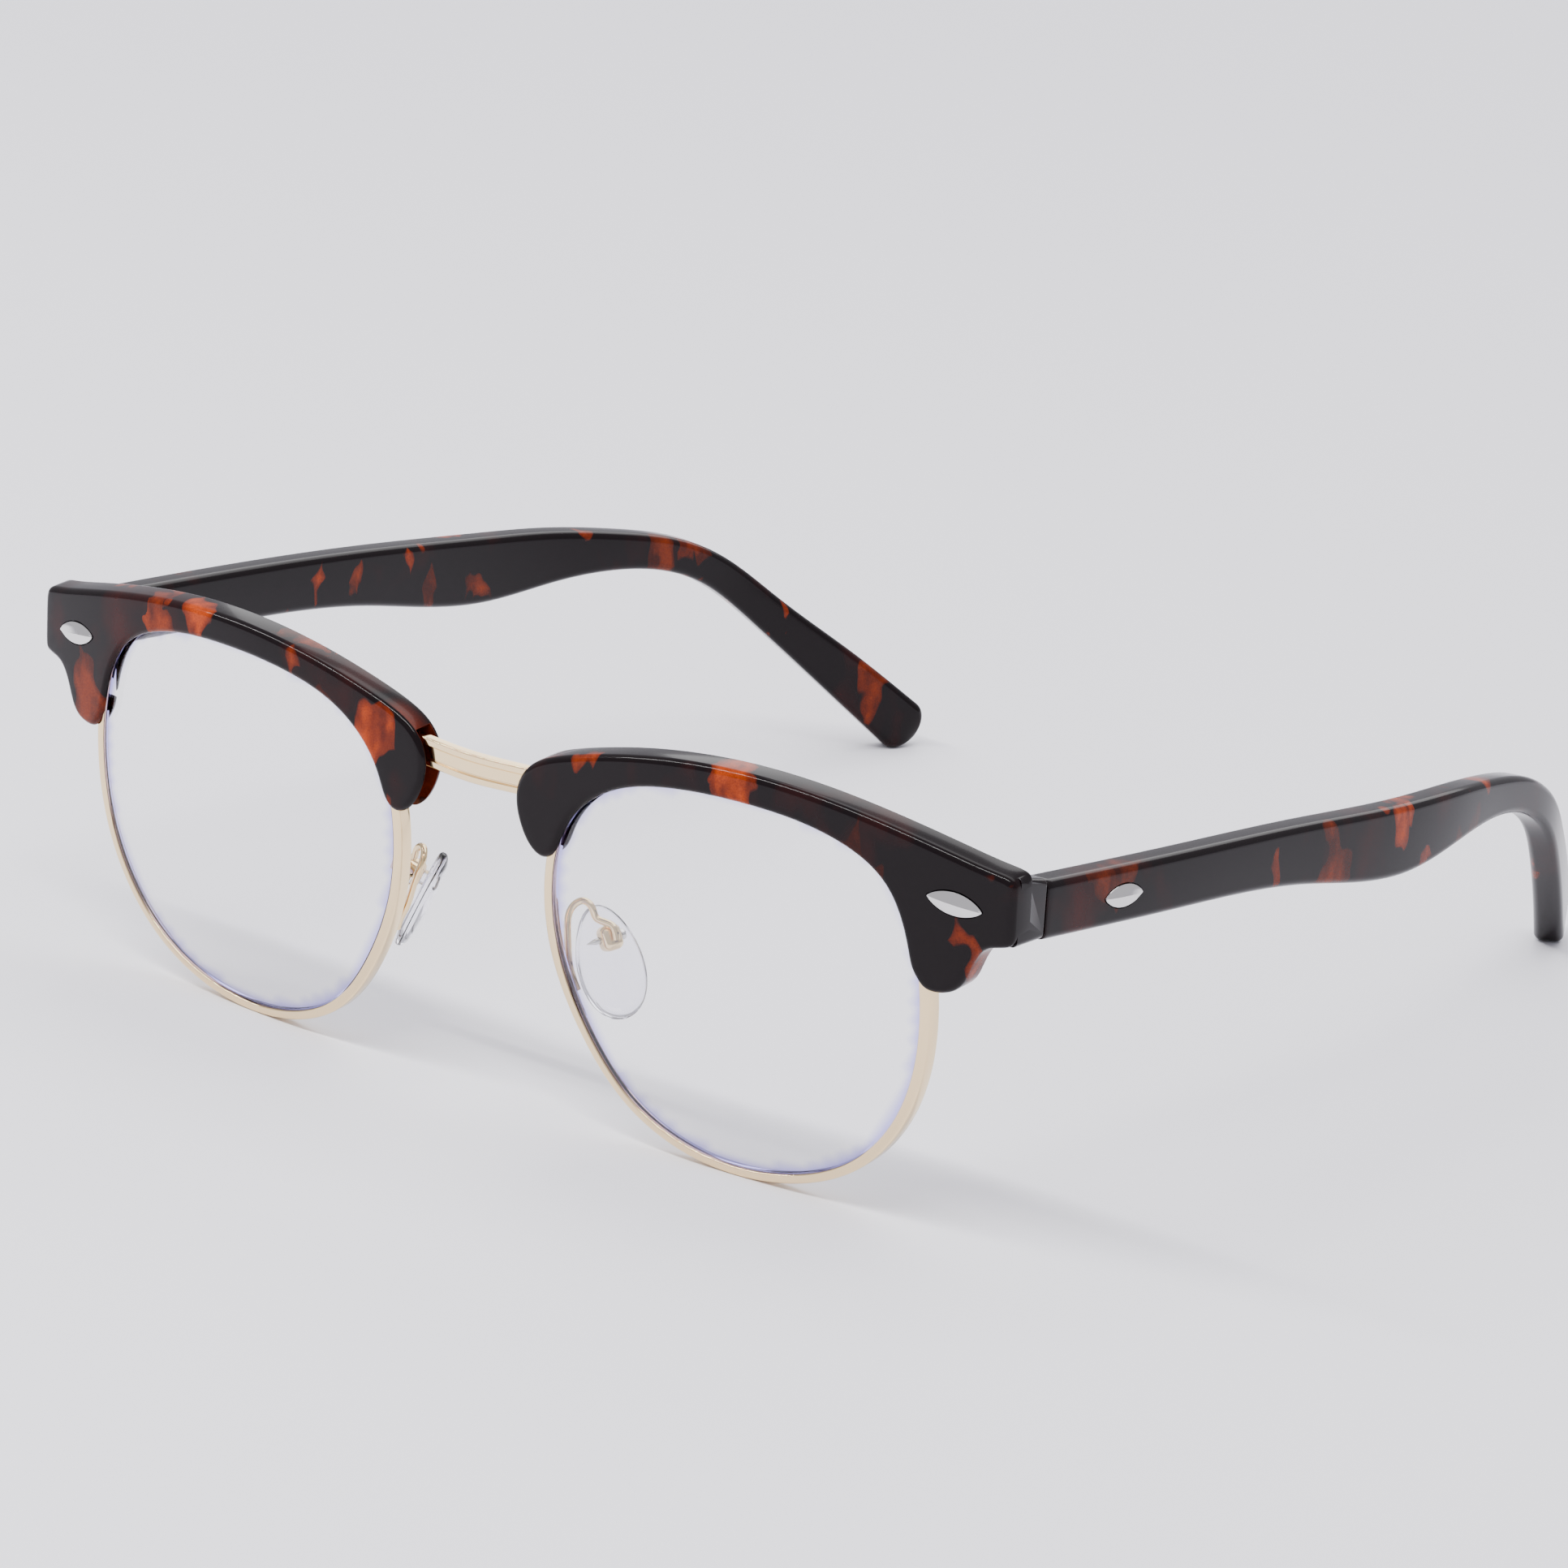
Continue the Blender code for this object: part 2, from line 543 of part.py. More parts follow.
def temple_rivet_frame(side):
    """Centre, line and outward way of the rivet on the temple."""
    line = temple_line(400)
    i = int(np.argmin(np.abs(line[:, 1] - (LUG_BACK + TEMPLE_GAP + TEMPLE_RIVET_Y))))
    here, there = line[i], line[i + 1]
    centre = np.array([side * here[0], here[1], here[2]])
    along = (there - here)[:3] * np.array([side, 1.0, 1.0]) * side
    out = np.cross(along, (0.0, 0.0, 1.0))
    return centre, along, out


# ---------------------------------------------------------------- temples

def temple_line(count):
    """Outer face's middle line: x, y, z and the temple's depth there."""
    start = LUG_BACK + TEMPLE_GAP
    drop = TEMPLE_START_Z - TEMPLE_END_Z
    points = [(FRONT_SIDE - inset, start + share * TEMPLE_REACH, TEMPLE_END_Z + left * drop, deep)
              for inset, share, left, deep in TEMPLE_STATIONS]
    return smooth_curve(points, count)


def temple_run(line, i):
    """Unit direction of the temple's line at a station; its front end is cut square."""
    if i == 0:
        return np.array([0.0, 1.0, 0.0])
    run = line[min(i + 1, len(line) - 1)][:3] - line[i - 1][:3]
    return run / np.linalg.norm(run)


def temple_section(line, i, shrink=1.0):
    """Rounded rectangle across the temple at a station, in the frame of its own line."""
    run = temple_run(line, i)
    out = np.cross(run, (0.0, 0.0, 1.0))
    out /= np.linalg.norm(out)
    up = np.cross(out, run)
    deep = line[i][3] / 2 * shrink
    thin = TEMPLE_THICK / 2 * (0.45 + 0.55 * shrink)
    radius = min(TEMPLE_ROUND, thin, deep)
    middle = line[i][:3] - out * TEMPLE_THICK / 2
    ring = []
    for quarter, (right, top) in enumerate(((1, 1), (-1, 1), (-1, -1), (1, -1))):
        for step in range(3):
            angle = math.pi / 2 * (quarter + step / 2)
            ring.append(middle + out * (right * (thin - radius) + radius * math.cos(angle))
                        + up * (top * (deep - radius) + radius * math.sin(angle)))
    return ring


def make_temple(side_name, side, origin):
    """The acetate temple: a tapering bar that bends down behind the ear to a rounded tip."""
    line = temple_line(40)
    last = len(line) - 1
    rings = [temple_section(line, i) for i in range(len(line))]
    tip = temple_run(line, last) * line[-1][3] * 0.4
    for turn in (30, 55, 75):
        ring = temple_section(line, last, math.cos(math.radians(turn)))
        rings.append([p + tip * math.sin(math.radians(turn)) for p in ring])
    rings = [[(side * p[0], p[1], p[2]) for p in ring] for ring in rings]
    temple = loft(f"temple_{side_name}", rings, "tortoise", origin=origin)
    cut(temple, rivet_seat(f"temple_rivet_seat_{side_name}", *temple_rivet_frame(side)))


# ---------------------------------------------------------------- hinges

def knuckle_spans():
    """Low and high z of each hinge knuckle, from the bottom up."""
    tall = (HINGE_HIGH - HINGE_LOW - (KNUCKLES - 1) * KNUCKLE_GAP) / KNUCKLES
    lows = [HINGE_LOW + i * (tall + KNUCKLE_GAP) for i in range(KNUCKLES)]
    return [(low, low + tall) for low in lows]


def make_leaf(name, side, plate_low, plate_high, arm, spans, origin):
    """A hinge leaf: its plate, with an arm and a drilled barrel at each of its knuckles."""
    leaf = box(name, plate_low, plate_high, "steel", side, origin)
    for i, (low, high) in enumerate(spans):
        (x0, x1), (y0, y1) = arm
        join(leaf, box(f"{name}_arm_{i}", (x0, y0, low), (x1, y1, high), "steel", side))
        barrel = [(0.0, BARREL_RADIUS), (high - low, BARREL_RADIUS)]
        join(leaf, turned(f"{name}_barrel_{i}", (side * HINGE_U, HINGE_Y, low), (0, 0, 1), barrel,
                          "steel", 16))
    reach = HINGE_HIGH - HINGE_LOW + 2
    cut(leaf, turned(f"{name}_bore", (side * HINGE_U, HINGE_Y, HINGE_LOW - 1), (0, 0, 1),
                     [(0.0, PIN_RADIUS + PIN_CLEAR), (reach, PIN_RADIUS + PIN_CLEAR)], "steel", 16))
    return leaf


def make_hinge(side_name, side, origin):
    """Five-knuckle hinge: three on the front, two on the temple, and the screw through them."""
    spans = knuckle_spans()
    leaf_end = FRONT_SIDE - LUG_THICK - CLEAR
    leaf_y = front_point(leaf_end, HINGE_LOW, BROW_BACK)[1] + CLEAR
    arm_half = LEAF_THICK
    make_leaf(f"hinge_front_{side_name}", side, (leaf_end - FRONT_LEAF_WIDTH, leaf_y, HINGE_LOW),
              (leaf_end, leaf_y + LEAF_THICK, HINGE_HIGH),
              ((HINGE_U - arm_half, HINGE_U + arm_half), (leaf_y + LEAF_THICK / 2, HINGE_Y)),
              spans[0::2], (0.0, 0.0, 0.0))

    inner = FRONT_SIDE - TEMPLE_THICK - CLEAR
    plate_y = HINGE_Y + 2 * CLEAR
    make_leaf(f"hinge_temple_{side_name}", side, (inner - LEAF_THICK, plate_y, HINGE_LOW),
              (inner, plate_y + TEMPLE_LEAF_LENGTH, HINGE_HIGH - HEAD_HEIGHT),
              ((HINGE_U, inner - CLEAR), (HINGE_Y + 0.1, HINGE_Y + 1.0)), spans[1::2], origin)
    turned(f"hinge_screw_{side_name}", (side * HINGE_U, HINGE_Y, HINGE_LOW - CLEAR), (0, 0, 1),
           screw_profile(HINGE_HIGH - HINGE_LOW + 2 * CLEAR), "steel")


# ---------------------------------------------------------------- nose pads

def pad_frame(side):
    """Pivot and unit directions of a nose pad: across (the pin's line), up and facing."""
    flip = np.array([side, 1.0, 1.0])
    facing = np.array(PAD_FACING) / np.linalg.norm(PAD_FACING)
    up = np.array(PAD_UP) - np.dot(PAD_UP, facing) * facing
    up /= np.linalg.norm(up)
    across = np.cross(facing, up)
    return np.array(PAD_PIVOT) * flip, across * flip, up * flip, facing * flip


def pad_box_part(name, side, half_across, half_up, start, end, finish):
    """A small block in a nose pad's own directions, from start to end along its facing."""
    pivot, across, up, facing = pad_frame(side)
    rings = []
    for depth in (start, end):
        rings.append([pivot + across * a * half_across + up * b * half_up + facing * depth
                      for a, b in ((-1, -1), (1, -1), (1, 1), (-1, 1))])
    return loft(name, rings, finish)


def make_pad(side_name, side):
    """The clear pad: a rounded egg-shaped plate with the boss that the pin goes through."""
    pivot, across, up, facing = pad_frame(side)
    layers = [(0.90, 0.0), (1.0, 0.35), (1.0, 0.9), (0.86, 1.45), (0.55, 1.8), (0.2, PAD_THICK)]
    rings = []
    for scale, rise in layers:
        ring = []
        for i in range(24):
            angle = 2 * math.pi * i / 24
            tall = math.sin(angle)
            wide = math.cos(angle) * (1 - 0.14 * tall)
            ring.append(pivot + facing * (PAD_STAND_OFF + rise) - up * PAD_DROP
                        + up * tall * scale * PAD_LENGTH / 2 + across * wide * scale * PAD_WIDTH / 2)
        rings.append(ring)
    pad = loft(f"nose_pad_{side_name}", rings, "clear", origin=tuple(pivot))
    join(pad, pad_box_part(f"pad_boss_{side_name}", side, BOSS[0] / 2, BOSS[1] / 2, -BOSS[1] / 2,
                           PAD_STAND_OFF + 0.6, "clear"))
    cut(pad, pad_bore(f"pad_boss_bore_{side_name}", side, PAD_PIN_RADIUS + PIN_CLEAR))


def pad_bore(name, side, radius):
    pivot, across, _, _ = pad_frame(side)
    return turned(name, pivot - across * 4, across, [(0.0, radius), (8.0, radius)], "steel", 16)


def make_pad_box(side_name, side):
    """The cup that the pad's boss tilts in, and the pointed screw across it."""
    across_size, up_size, mouth = PAD_BOX
    name = f"pad_box_{side_name}"
    cup = pad_box_part(name, side, across_size / 2, up_size / 2, -mouth - PAD_BOX_WALL, mouth, "gold")
    cut(cup, pad_box_part(f"{name}_hollow", side, across_size / 2 - PAD_BOX_WALL,
                          up_size / 2 - PAD_BOX_WALL, -mouth, mouth + 1, "gold"))
    cut(cup, pad_bore(f"{name}_bore", side, PAD_PIN_RADIUS + PIN_CLEAR))
    pivot, across, _, _ = pad_frame(side)
    half = across_size / 2
    head = 0.65
    profile = [(-half - 0.75, 0.7 * head), (-half - 0.55, head), (-half - 0.15, head),
               (-half - 0.15, PAD_PIN_RADIUS), (half + 0.5, PAD_PIN_RADIUS), (half + 1.6, 0.05)]
    turned(f"pad_screw_{side_name}", pivot, -across, profile, "steel")


def make_arm(side_name, side):
    """The bent wire from the rim's back up over a loop to the pad box."""
    foot, root = (front_point(rim_u(v, False) + RIM_WIDTH / 2, v, ARM_W)
                  for v in (ARM_FOOT_V, ARM_ROOT_V))
    pivot, _, up, facing = pad_frame(1.0)
    back = pivot - facing * (PAD_BOX[2] + PAD_BOX_WALL + CLEAR + ARM_RADIUS)
    loop = [pivot + np.array(step) for step in ARM_LOOP]
    line = smooth_curve([foot, root, *loop, back + up * 1.2, back - up * 0.4], 30)
    rings = []
    first = np.array([0.0, 1.0, 0.0])
    for i, point in enumerate(line):
        run = line[min(i + 1, len(line) - 1)] - line[max(i - 1, 0)]
        run /= np.linalg.norm(run)
        first = first - np.dot(first, run) * run
        first /= np.linalg.norm(first)
        second = np.cross(run, first)
        rings.append([(point + ARM_RADIUS * (math.cos(a) * first + math.sin(a) * second))
                      * np.array([side, 1.0, 1.0])
                      for a in (2 * math.pi * k / 8 for k in range(8))])
    return loft(f"pad_arm_{side_name}", rings, "gold")


# ---------------------------------------------------------------- the whole

def footprint_middle():
    """Middle of the whole in Y, so that the origin can stand under it."""
    depths = [(part.matrix_world @ v.co).y for part in bpy.data.objects
              if part.type == "MESH" and not part.hide_render for v in part.data.vertices]
    return (min(depths) + max(depths)) / 2


def main():
    for old in list(bpy.data.objects):
        bpy.data.objects.remove(old, do_unlink=True)
    make_bridge()
    for side_name, side in SIDES.items():
        hinge_origin = (side * HINGE_U, HINGE_Y, (HINGE_LOW + HINGE_HIGH) / 2)
        make_brow(side_name, side)
        make_rim(side_name, side)
        make_lens(side_name, side)
        make_lock(side_name, side)
        make_brow_screw(side_name, side)
        rivet_head(f"front_rivet_{side_name}", *front_rivet_frame(side))
        make_hinge(side_name, side, hinge_origin)
        make_temple(side_name, side, hinge_origin)
        rivet_head(f"temple_rivet_{side_name}", *temple_rivet_frame(side))
        make_pad(side_name, side)
        make_pad_box(side_name, side)
        make_arm(side_name, side)
    bpy.context.view_layer.update()
    middle = footprint_middle()
    stand = bpy.data.objects.new("eyeglasses", None)
    bpy.context.scene.collection.objects.link(stand)
    for part in list(bpy.data.objects):
        if part is not stand:
            part.parent = stand
    stand.location.y = -middle
    bpy.context.view_layer.update()


main()
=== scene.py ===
"""Browline eyeglasses, dressed over their CAD frame: acetate brows, gold rims, lenses and temples."""

import logging
import math
from dataclasses import dataclass
from enum import Enum
from typing import Callable, Sequence

import bmesh
import bpy
import numpy as np
from mathutils import Matrix, Vector
from mathutils.geometry import delaunay_2d_cdt


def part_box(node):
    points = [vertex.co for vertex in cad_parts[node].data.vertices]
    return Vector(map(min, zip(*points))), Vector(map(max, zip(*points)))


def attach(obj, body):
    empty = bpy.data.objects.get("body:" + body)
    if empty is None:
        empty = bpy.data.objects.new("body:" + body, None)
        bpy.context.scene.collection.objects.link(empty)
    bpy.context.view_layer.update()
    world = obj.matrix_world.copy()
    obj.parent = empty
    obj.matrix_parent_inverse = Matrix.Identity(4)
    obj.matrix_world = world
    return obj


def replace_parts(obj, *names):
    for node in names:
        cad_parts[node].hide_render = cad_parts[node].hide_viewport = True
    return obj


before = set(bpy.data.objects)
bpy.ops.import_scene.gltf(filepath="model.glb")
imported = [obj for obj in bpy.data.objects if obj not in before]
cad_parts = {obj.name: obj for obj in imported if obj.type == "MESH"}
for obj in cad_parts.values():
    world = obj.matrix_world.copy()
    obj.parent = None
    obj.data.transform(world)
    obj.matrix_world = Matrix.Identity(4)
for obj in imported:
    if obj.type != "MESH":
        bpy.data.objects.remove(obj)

log = logging.getLogger("eyeglasses")

MM = 0.001
CLEAR = 0.2
HAIR = 0.01                 # too little to see
HINGE_BEHIND = 0.5          # from the end piece's back to the hinge's axis
Ring = np.ndarray


class Side(Enum):
    """The wearer's left and right, with the sign of X on that side."""

    LEFT = 1.0
    RIGHT = -1.0

    @property
    def word(self) -> str:
        return self.name.lower()

    @property
    def flip(self) -> np.ndarray:
        return np.array([self.value, 1.0, 1.0])


class Blend(Enum):
    """Boolean operations between two solids."""

    JOIN = "UNION"
    CUT = "DIFFERENCE"


# ------------------------------------------------------------------ curves


def unit(vector: Sequence[float]) -> np.ndarray:
    """Scale a vector to length one."""
    array = np.asarray(vector, float)
    return array / np.linalg.norm(array)


def smooth_curve(points: Sequence, count: int, closed: bool = False) -> np.ndarray:
    """Run a natural cubic spline through points, spaced by chord length.

    Args:
        points: the points that the curve passes through.
        count: how many points to return.
        closed: whether the curve runs round to its start.

    Returns:
        An array of count points.
    """
    pts = np.asarray(points, float)
    if closed:
        pts = np.vstack([pts[-4:], pts, pts[:5]])
    knots = np.concatenate([[0.0], np.cumsum(np.linalg.norm(np.diff(pts, axis=0), axis=1))])
    gaps = np.diff(knots)
    size = len(pts)
    system = np.eye(size)
    right = np.zeros_like(pts)
    for i in range(1, size - 1):
        system[i, i - 1:i + 2] = gaps[i - 1], 2 * (gaps[i - 1] + gaps[i]), gaps[i]
        right[i] = 6 * ((pts[i + 1] - pts[i]) / gaps[i] - (pts[i] - pts[i - 1]) / gaps[i - 1])
    bend = np.linalg.solve(system, right)
    start, end = (knots[4], knots[-5]) if closed else (knots[0], knots[-1])
    at = np.linspace(start, end, count, endpoint=not closed)
    i = np.clip(np.searchsorted(knots, at, side="right") - 1, 0, size - 2)
    h = gaps[i][:, None]
    a = (knots[i + 1] - at)[:, None] / h
    b = 1 - a
    return a * pts[i] + b * pts[i + 1] + ((a ** 3 - a) * bend[i] + (b ** 3 - b) * bend[i + 1]) * h * h / 6


def even_loop(loop: np.ndarray, spacing: float) -> np.ndarray:
    """Space the points of a closed loop evenly.

    Args:
        loop: points of the loop, without the first repeated.
        spacing: wanted distance between points.

    Returns:
        The respaced loop.
    """
    shut = np.vstack([loop, loop[:1]])
    run = np.concatenate([[0.0], np.cumsum(np.linalg.norm(np.diff(shut, axis=0), axis=1))])
    count = int(run[-1] / spacing)
    at = np.linspace(0.0, run[-1], count, endpoint=False)
    return np.stack([np.interp(at, run, shut[:, k]) for k in range(loop.shape[1])], axis=1)


def soften(loop: np.ndarray, spacing: float, reach: float) -> np.ndarray:
    """Round the corners of an evenly spaced loop.

    Args:
        loop: the loop's points.
        spacing: distance between the points.
        reach: standard deviation of the smoothing, in the loop's units.

    Returns:
        The smoothed loop.
    """
    width = int(3 * reach / spacing)
    weights = np.exp(-0.5 * (np.arange(-width, width + 1) * spacing / reach) ** 2)
    weights /= weights.sum()
    padded = np.vstack([loop[-width:], loop, loop[:width]])
    return np.stack([np.convolve(padded[:, k], weights, mode="valid") for k in range(loop.shape[1])], axis=1)


def inset(loop: np.ndarray, distance: float) -> np.ndarray:
    """Move a counter-clockwise loop inward along its corner normals.

    Args:
        loop: (u, v) points.
        distance: how far in; negative moves outward.

    Returns:
        The moved loop, point for point.
    """
    before = loop - np.roll(loop, 1, axis=0)
    after = np.roll(loop, -1, axis=0) - loop
    before /= np.linalg.norm(before, axis=1)[:, None]
    after /= np.linalg.norm(after, axis=1)[:, None]
    inward = np.stack([-(before + after)[:, 1], (before + after)[:, 0]], axis=1)
    inward /= np.linalg.norm(inward, axis=1)[:, None]
    half = np.sqrt(np.clip((1 + (before * after).sum(1)) / 2, 0.25, 1.0))
    return loop + inward * (distance / half)[:, None]


def quarter_round(radius: float, steps: int) -> list[tuple[float, float]]:
    """Inset and set-back of a rounded edge, from the flat face to the side."""
    turns = [math.pi / 2 * i / steps for i in range(steps + 1)]
    return [(radius * (1 - math.sin(t)), radius * (1 - math.cos(t))) for t in turns]


def ease(low: float, high: float, value: np.ndarray | float) -> np.ndarray | float:
    """Rise smoothly from 0 at low to 1 at high."""
    t = np.clip((np.asarray(value, float) - low) / (high - low), 0.0, 1.0)
    return t * t * (3 - 2 * t)


# ------------------------------------------------------------------ meshes


class Shell:
    """Points and faces of a solid in millimetres, gathered before they become an object."""

    def __init__(self) -> None:
        self.points: list[np.ndarray] = []
        self.faces: list[tuple[int, ...]] = []
        self.size = 0

    def add(self, points: Sequence) -> int:
        """Add points and return the index of the first."""
        first = self.size
        array = np.asarray(points, float).reshape(-1, 3)
        self.points.append(array)
        self.size += len(array)
        return first

    def strip(self, starts: Sequence[int], size: int, around: bool = False) -> None:
        """Join rings of equal size, given the index of each ring's first point."""
        pairs = list(zip(starts, starts[1:]))
        if around:
            pairs.append((starts[-1], starts[0]))
        for here, there in pairs:
            for j in range(size):
                k = (j + 1) % size
                self.faces.append((here + j, here + k, there + k, there + j))

    def loft(self, rings: Sequence[Ring], around: bool = False, capped: bool = True) -> "Shell":
        """Skin equal rings of points.

        Args:
            rings: the rings, in order.
            around: whether the last ring joins the first.
            capped: whether the two ends get flat caps.

        Returns:
            The shell itself.
        """
        size = len(rings[0])
        starts = [self.add(ring) for ring in rings]
        self.strip(starts, size, around)
        if capped and not around:
            self.faces.append(tuple(range(starts[0], starts[0] + size)))
            self.faces.append(tuple(range(starts[-1], starts[-1] + size)))
        return self

    def build(self, name: str, sharp: float = 35.0) -> bpy.types.Object:
        """Make the object, with faces outward and edges past the angle kept crisp.

        Args:
            name: the object's name.
            sharp: edge angle in degrees from which shading breaks.

        Returns:
            The new object, linked to the scene.
        """
        mesh = bpy.data.meshes.new(name)
        mesh.from_pydata((np.vstack(self.points) * MM).tolist(), [], self.faces)
        work = bmesh.new()
        work.from_mesh(mesh)
        bmesh.ops.remove_doubles(work, verts=work.verts, dist=1e-7)
        bmesh.ops.recalc_face_normals(work, faces=work.faces[:])
        if work.calc_volume(signed=True) < 0:
            bmesh.ops.reverse_faces(work, faces=work.faces[:])
        work.to_mesh(mesh)
        work.free()
        made = bpy.data.objects.new(name, mesh)
        bpy.context.scene.collection.objects.link(made)
        shade(made, sharp)
        return made


def shade(piece: bpy.types.Object, sharp: float = 35.0) -> None:
    """Shade a piece smoothly, except across edges sharper than the angle in degrees."""
    piece.data.shade_smooth()
    piece.data.set_sharp_from_angle(angle=math.radians(sharp))


def freeze(piece: bpy.types.Object) -> bpy.types.Object:
    """Replace a piece's modifiers with the plain mesh that they give."""
    bpy.context.view_layer.update()
    graph = bpy.context.evaluated_depsgraph_get()
    mesh = bpy.data.meshes.new_from_object(piece.evaluated_get(graph))
    if piece.type == "MESH":
        piece.modifiers.clear()
        piece.data = mesh
        return piece
    name = piece.name
    bpy.data.objects.remove(piece, do_unlink=True)
    made = bpy.data.objects.new(name, mesh)
    bpy.context.scene.collection.objects.link(made)
    return made


def merge(piece: bpy.types.Object, tools: Sequence[bpy.types.Object], how: Blend,
          sharp: float = 35.0) -> bpy.types.Object:
    """Join solids to a piece or cut them from it, and remove them.

    Args:
        piece: the solid that stays.
        tools: the solids that are joined or cut away.
        how: the operation.
        sharp: edge angle in degrees kept crisp afterwards.

    Returns:
        The piece, as a plain mesh.

    Raises:
        RuntimeError: the piece reaches past where it was after a cut, so the tool was left in it.
    """
    for tool in tools:
        before = extent(piece)
        step = piece.modifiers.new(tool.name, "BOOLEAN")
        step.operation = how.value
        step.solver = "EXACT"
        step.object = tool
        freeze(piece)
        if how is Blend.CUT and (extent(piece) < before - HAIR * MM).any():
            raise RuntimeError(f"{tool.name} was left in {piece.name}")
        bpy.data.objects.remove(tool, do_unlink=True)
    shade(piece, sharp)
    return piece


def extent(piece: bpy.types.Object) -> np.ndarray:
    """Low corner of a piece's mesh and, turned round in sign, its high corner."""
    spots = np.array([v.co for v in piece.data.vertices])
    return np.concatenate([spots.min(0), -spots.max(0)])


def turned(name: str, centre: Sequence[float], axis: Sequence[float],
           profile: Sequence[tuple[float, float]], sides: int = 40) -> bpy.types.Object:
    """Make a turned piece from its profile.

    Args:
        name: the object's name.
        centre: where the axis starts.
        axis: direction of the axis.
        profile: (distance along the axis, radius) from one end to the other.
        sides: points round the axis.

    Returns:
        The new object.
    """
    along = unit(axis)
    helper = np.array([0.0, 0.0, 1.0]) if abs(along[2]) < 0.9 else np.array([1.0, 0.0, 0.0])
    first = unit(np.cross(along, helper))
    second = np.cross(along, first)
    turns = np.linspace(0.0, 2 * math.pi, sides, endpoint=False)[:, None]
    rings = [np.asarray(centre) + along * s + r * (np.cos(turns) * first + np.sin(turns) * second)
             for s, r in profile]
    return Shell().loft(rings).build(name)


def rounded_block(name: str, centre: Sequence[float], axes: Sequence[Sequence[float]],
                  half: Sequence[float], radius: float, steps: int = 4) -> bpy.types.Object:
    """Make a block with every edge rounded.

    Args:
        name: the object's name.
        centre: middle of the block.
        axes: its three unit directions.
        half: half sizes along those directions.
        radius: rounding of the edges.
        steps: facets in a quarter turn.

    Returns:
        The new object.
    """
    first, second, third = (np.asarray(a, float) for a in axes)
    rings = []
    for end in (-1, 1):
        turns = [math.pi / 2 * i / steps for i in range(steps + 1)]
        for turn in turns if end < 0 else reversed(turns):
            tuck = radius * (1 - math.sin(turn))
            level = end * (half[2] - radius + radius * math.cos(turn))
            corner = radius - tuck * 0.999
            ring = []
            for quarter, (right, top) in enumerate(((1, 1), (-1, 1), (-1, -1), (1, -1))):
                for i in range(steps + 1):
                    angle = math.pi / 2 * (quarter + i / steps)
                    ring.append(np.asarray(centre) + third * level
                                + first * (right * (half[0] - radius) + corner * math.cos(angle))
                                + second * (top * (half[1] - radius) + corner * math.sin(angle)))
            rings.append(np.array(ring))
    return Shell().loft(rings).build(name)


# ------------------------------------------------------------------ node helpers


def add_node(tree: bpy.types.NodeTree, kind: str, values: dict | None = None,
             **settings: object) -> bpy.types.Node:
    """Add a node with its settings, values and links.

    Args:
        tree: the shader or geometry tree.
        kind: the node's type name.
        values: input name or index to a value, or to the socket that feeds it.
        **settings: properties of the node.

    Returns:
        The new node.
    """
    node = tree.nodes.new(kind)
    for key, value in settings.items():
        setattr(node, key, value)
    for key, value in (values or {}).items():
        if isinstance(value, bpy.types.NodeSocket):
            tree.links.new(value, node.inputs[key])
        else:
            node.inputs[key].default_value = value
    return node


def srgb(code: str) -> tuple[float, float, float, float]:
    """Turn an sRGB hex code into the linear colour that a shader takes."""
    parts = [int(code[i:i + 2], 16) / 255 for i in (1, 3, 5)]
    line = [c / 12.92 if c <= 0.04045 else ((c + 0.055) / 1.055) ** 2.4 for c in parts]
    return (line[0], line[1], line[2], 1.0)


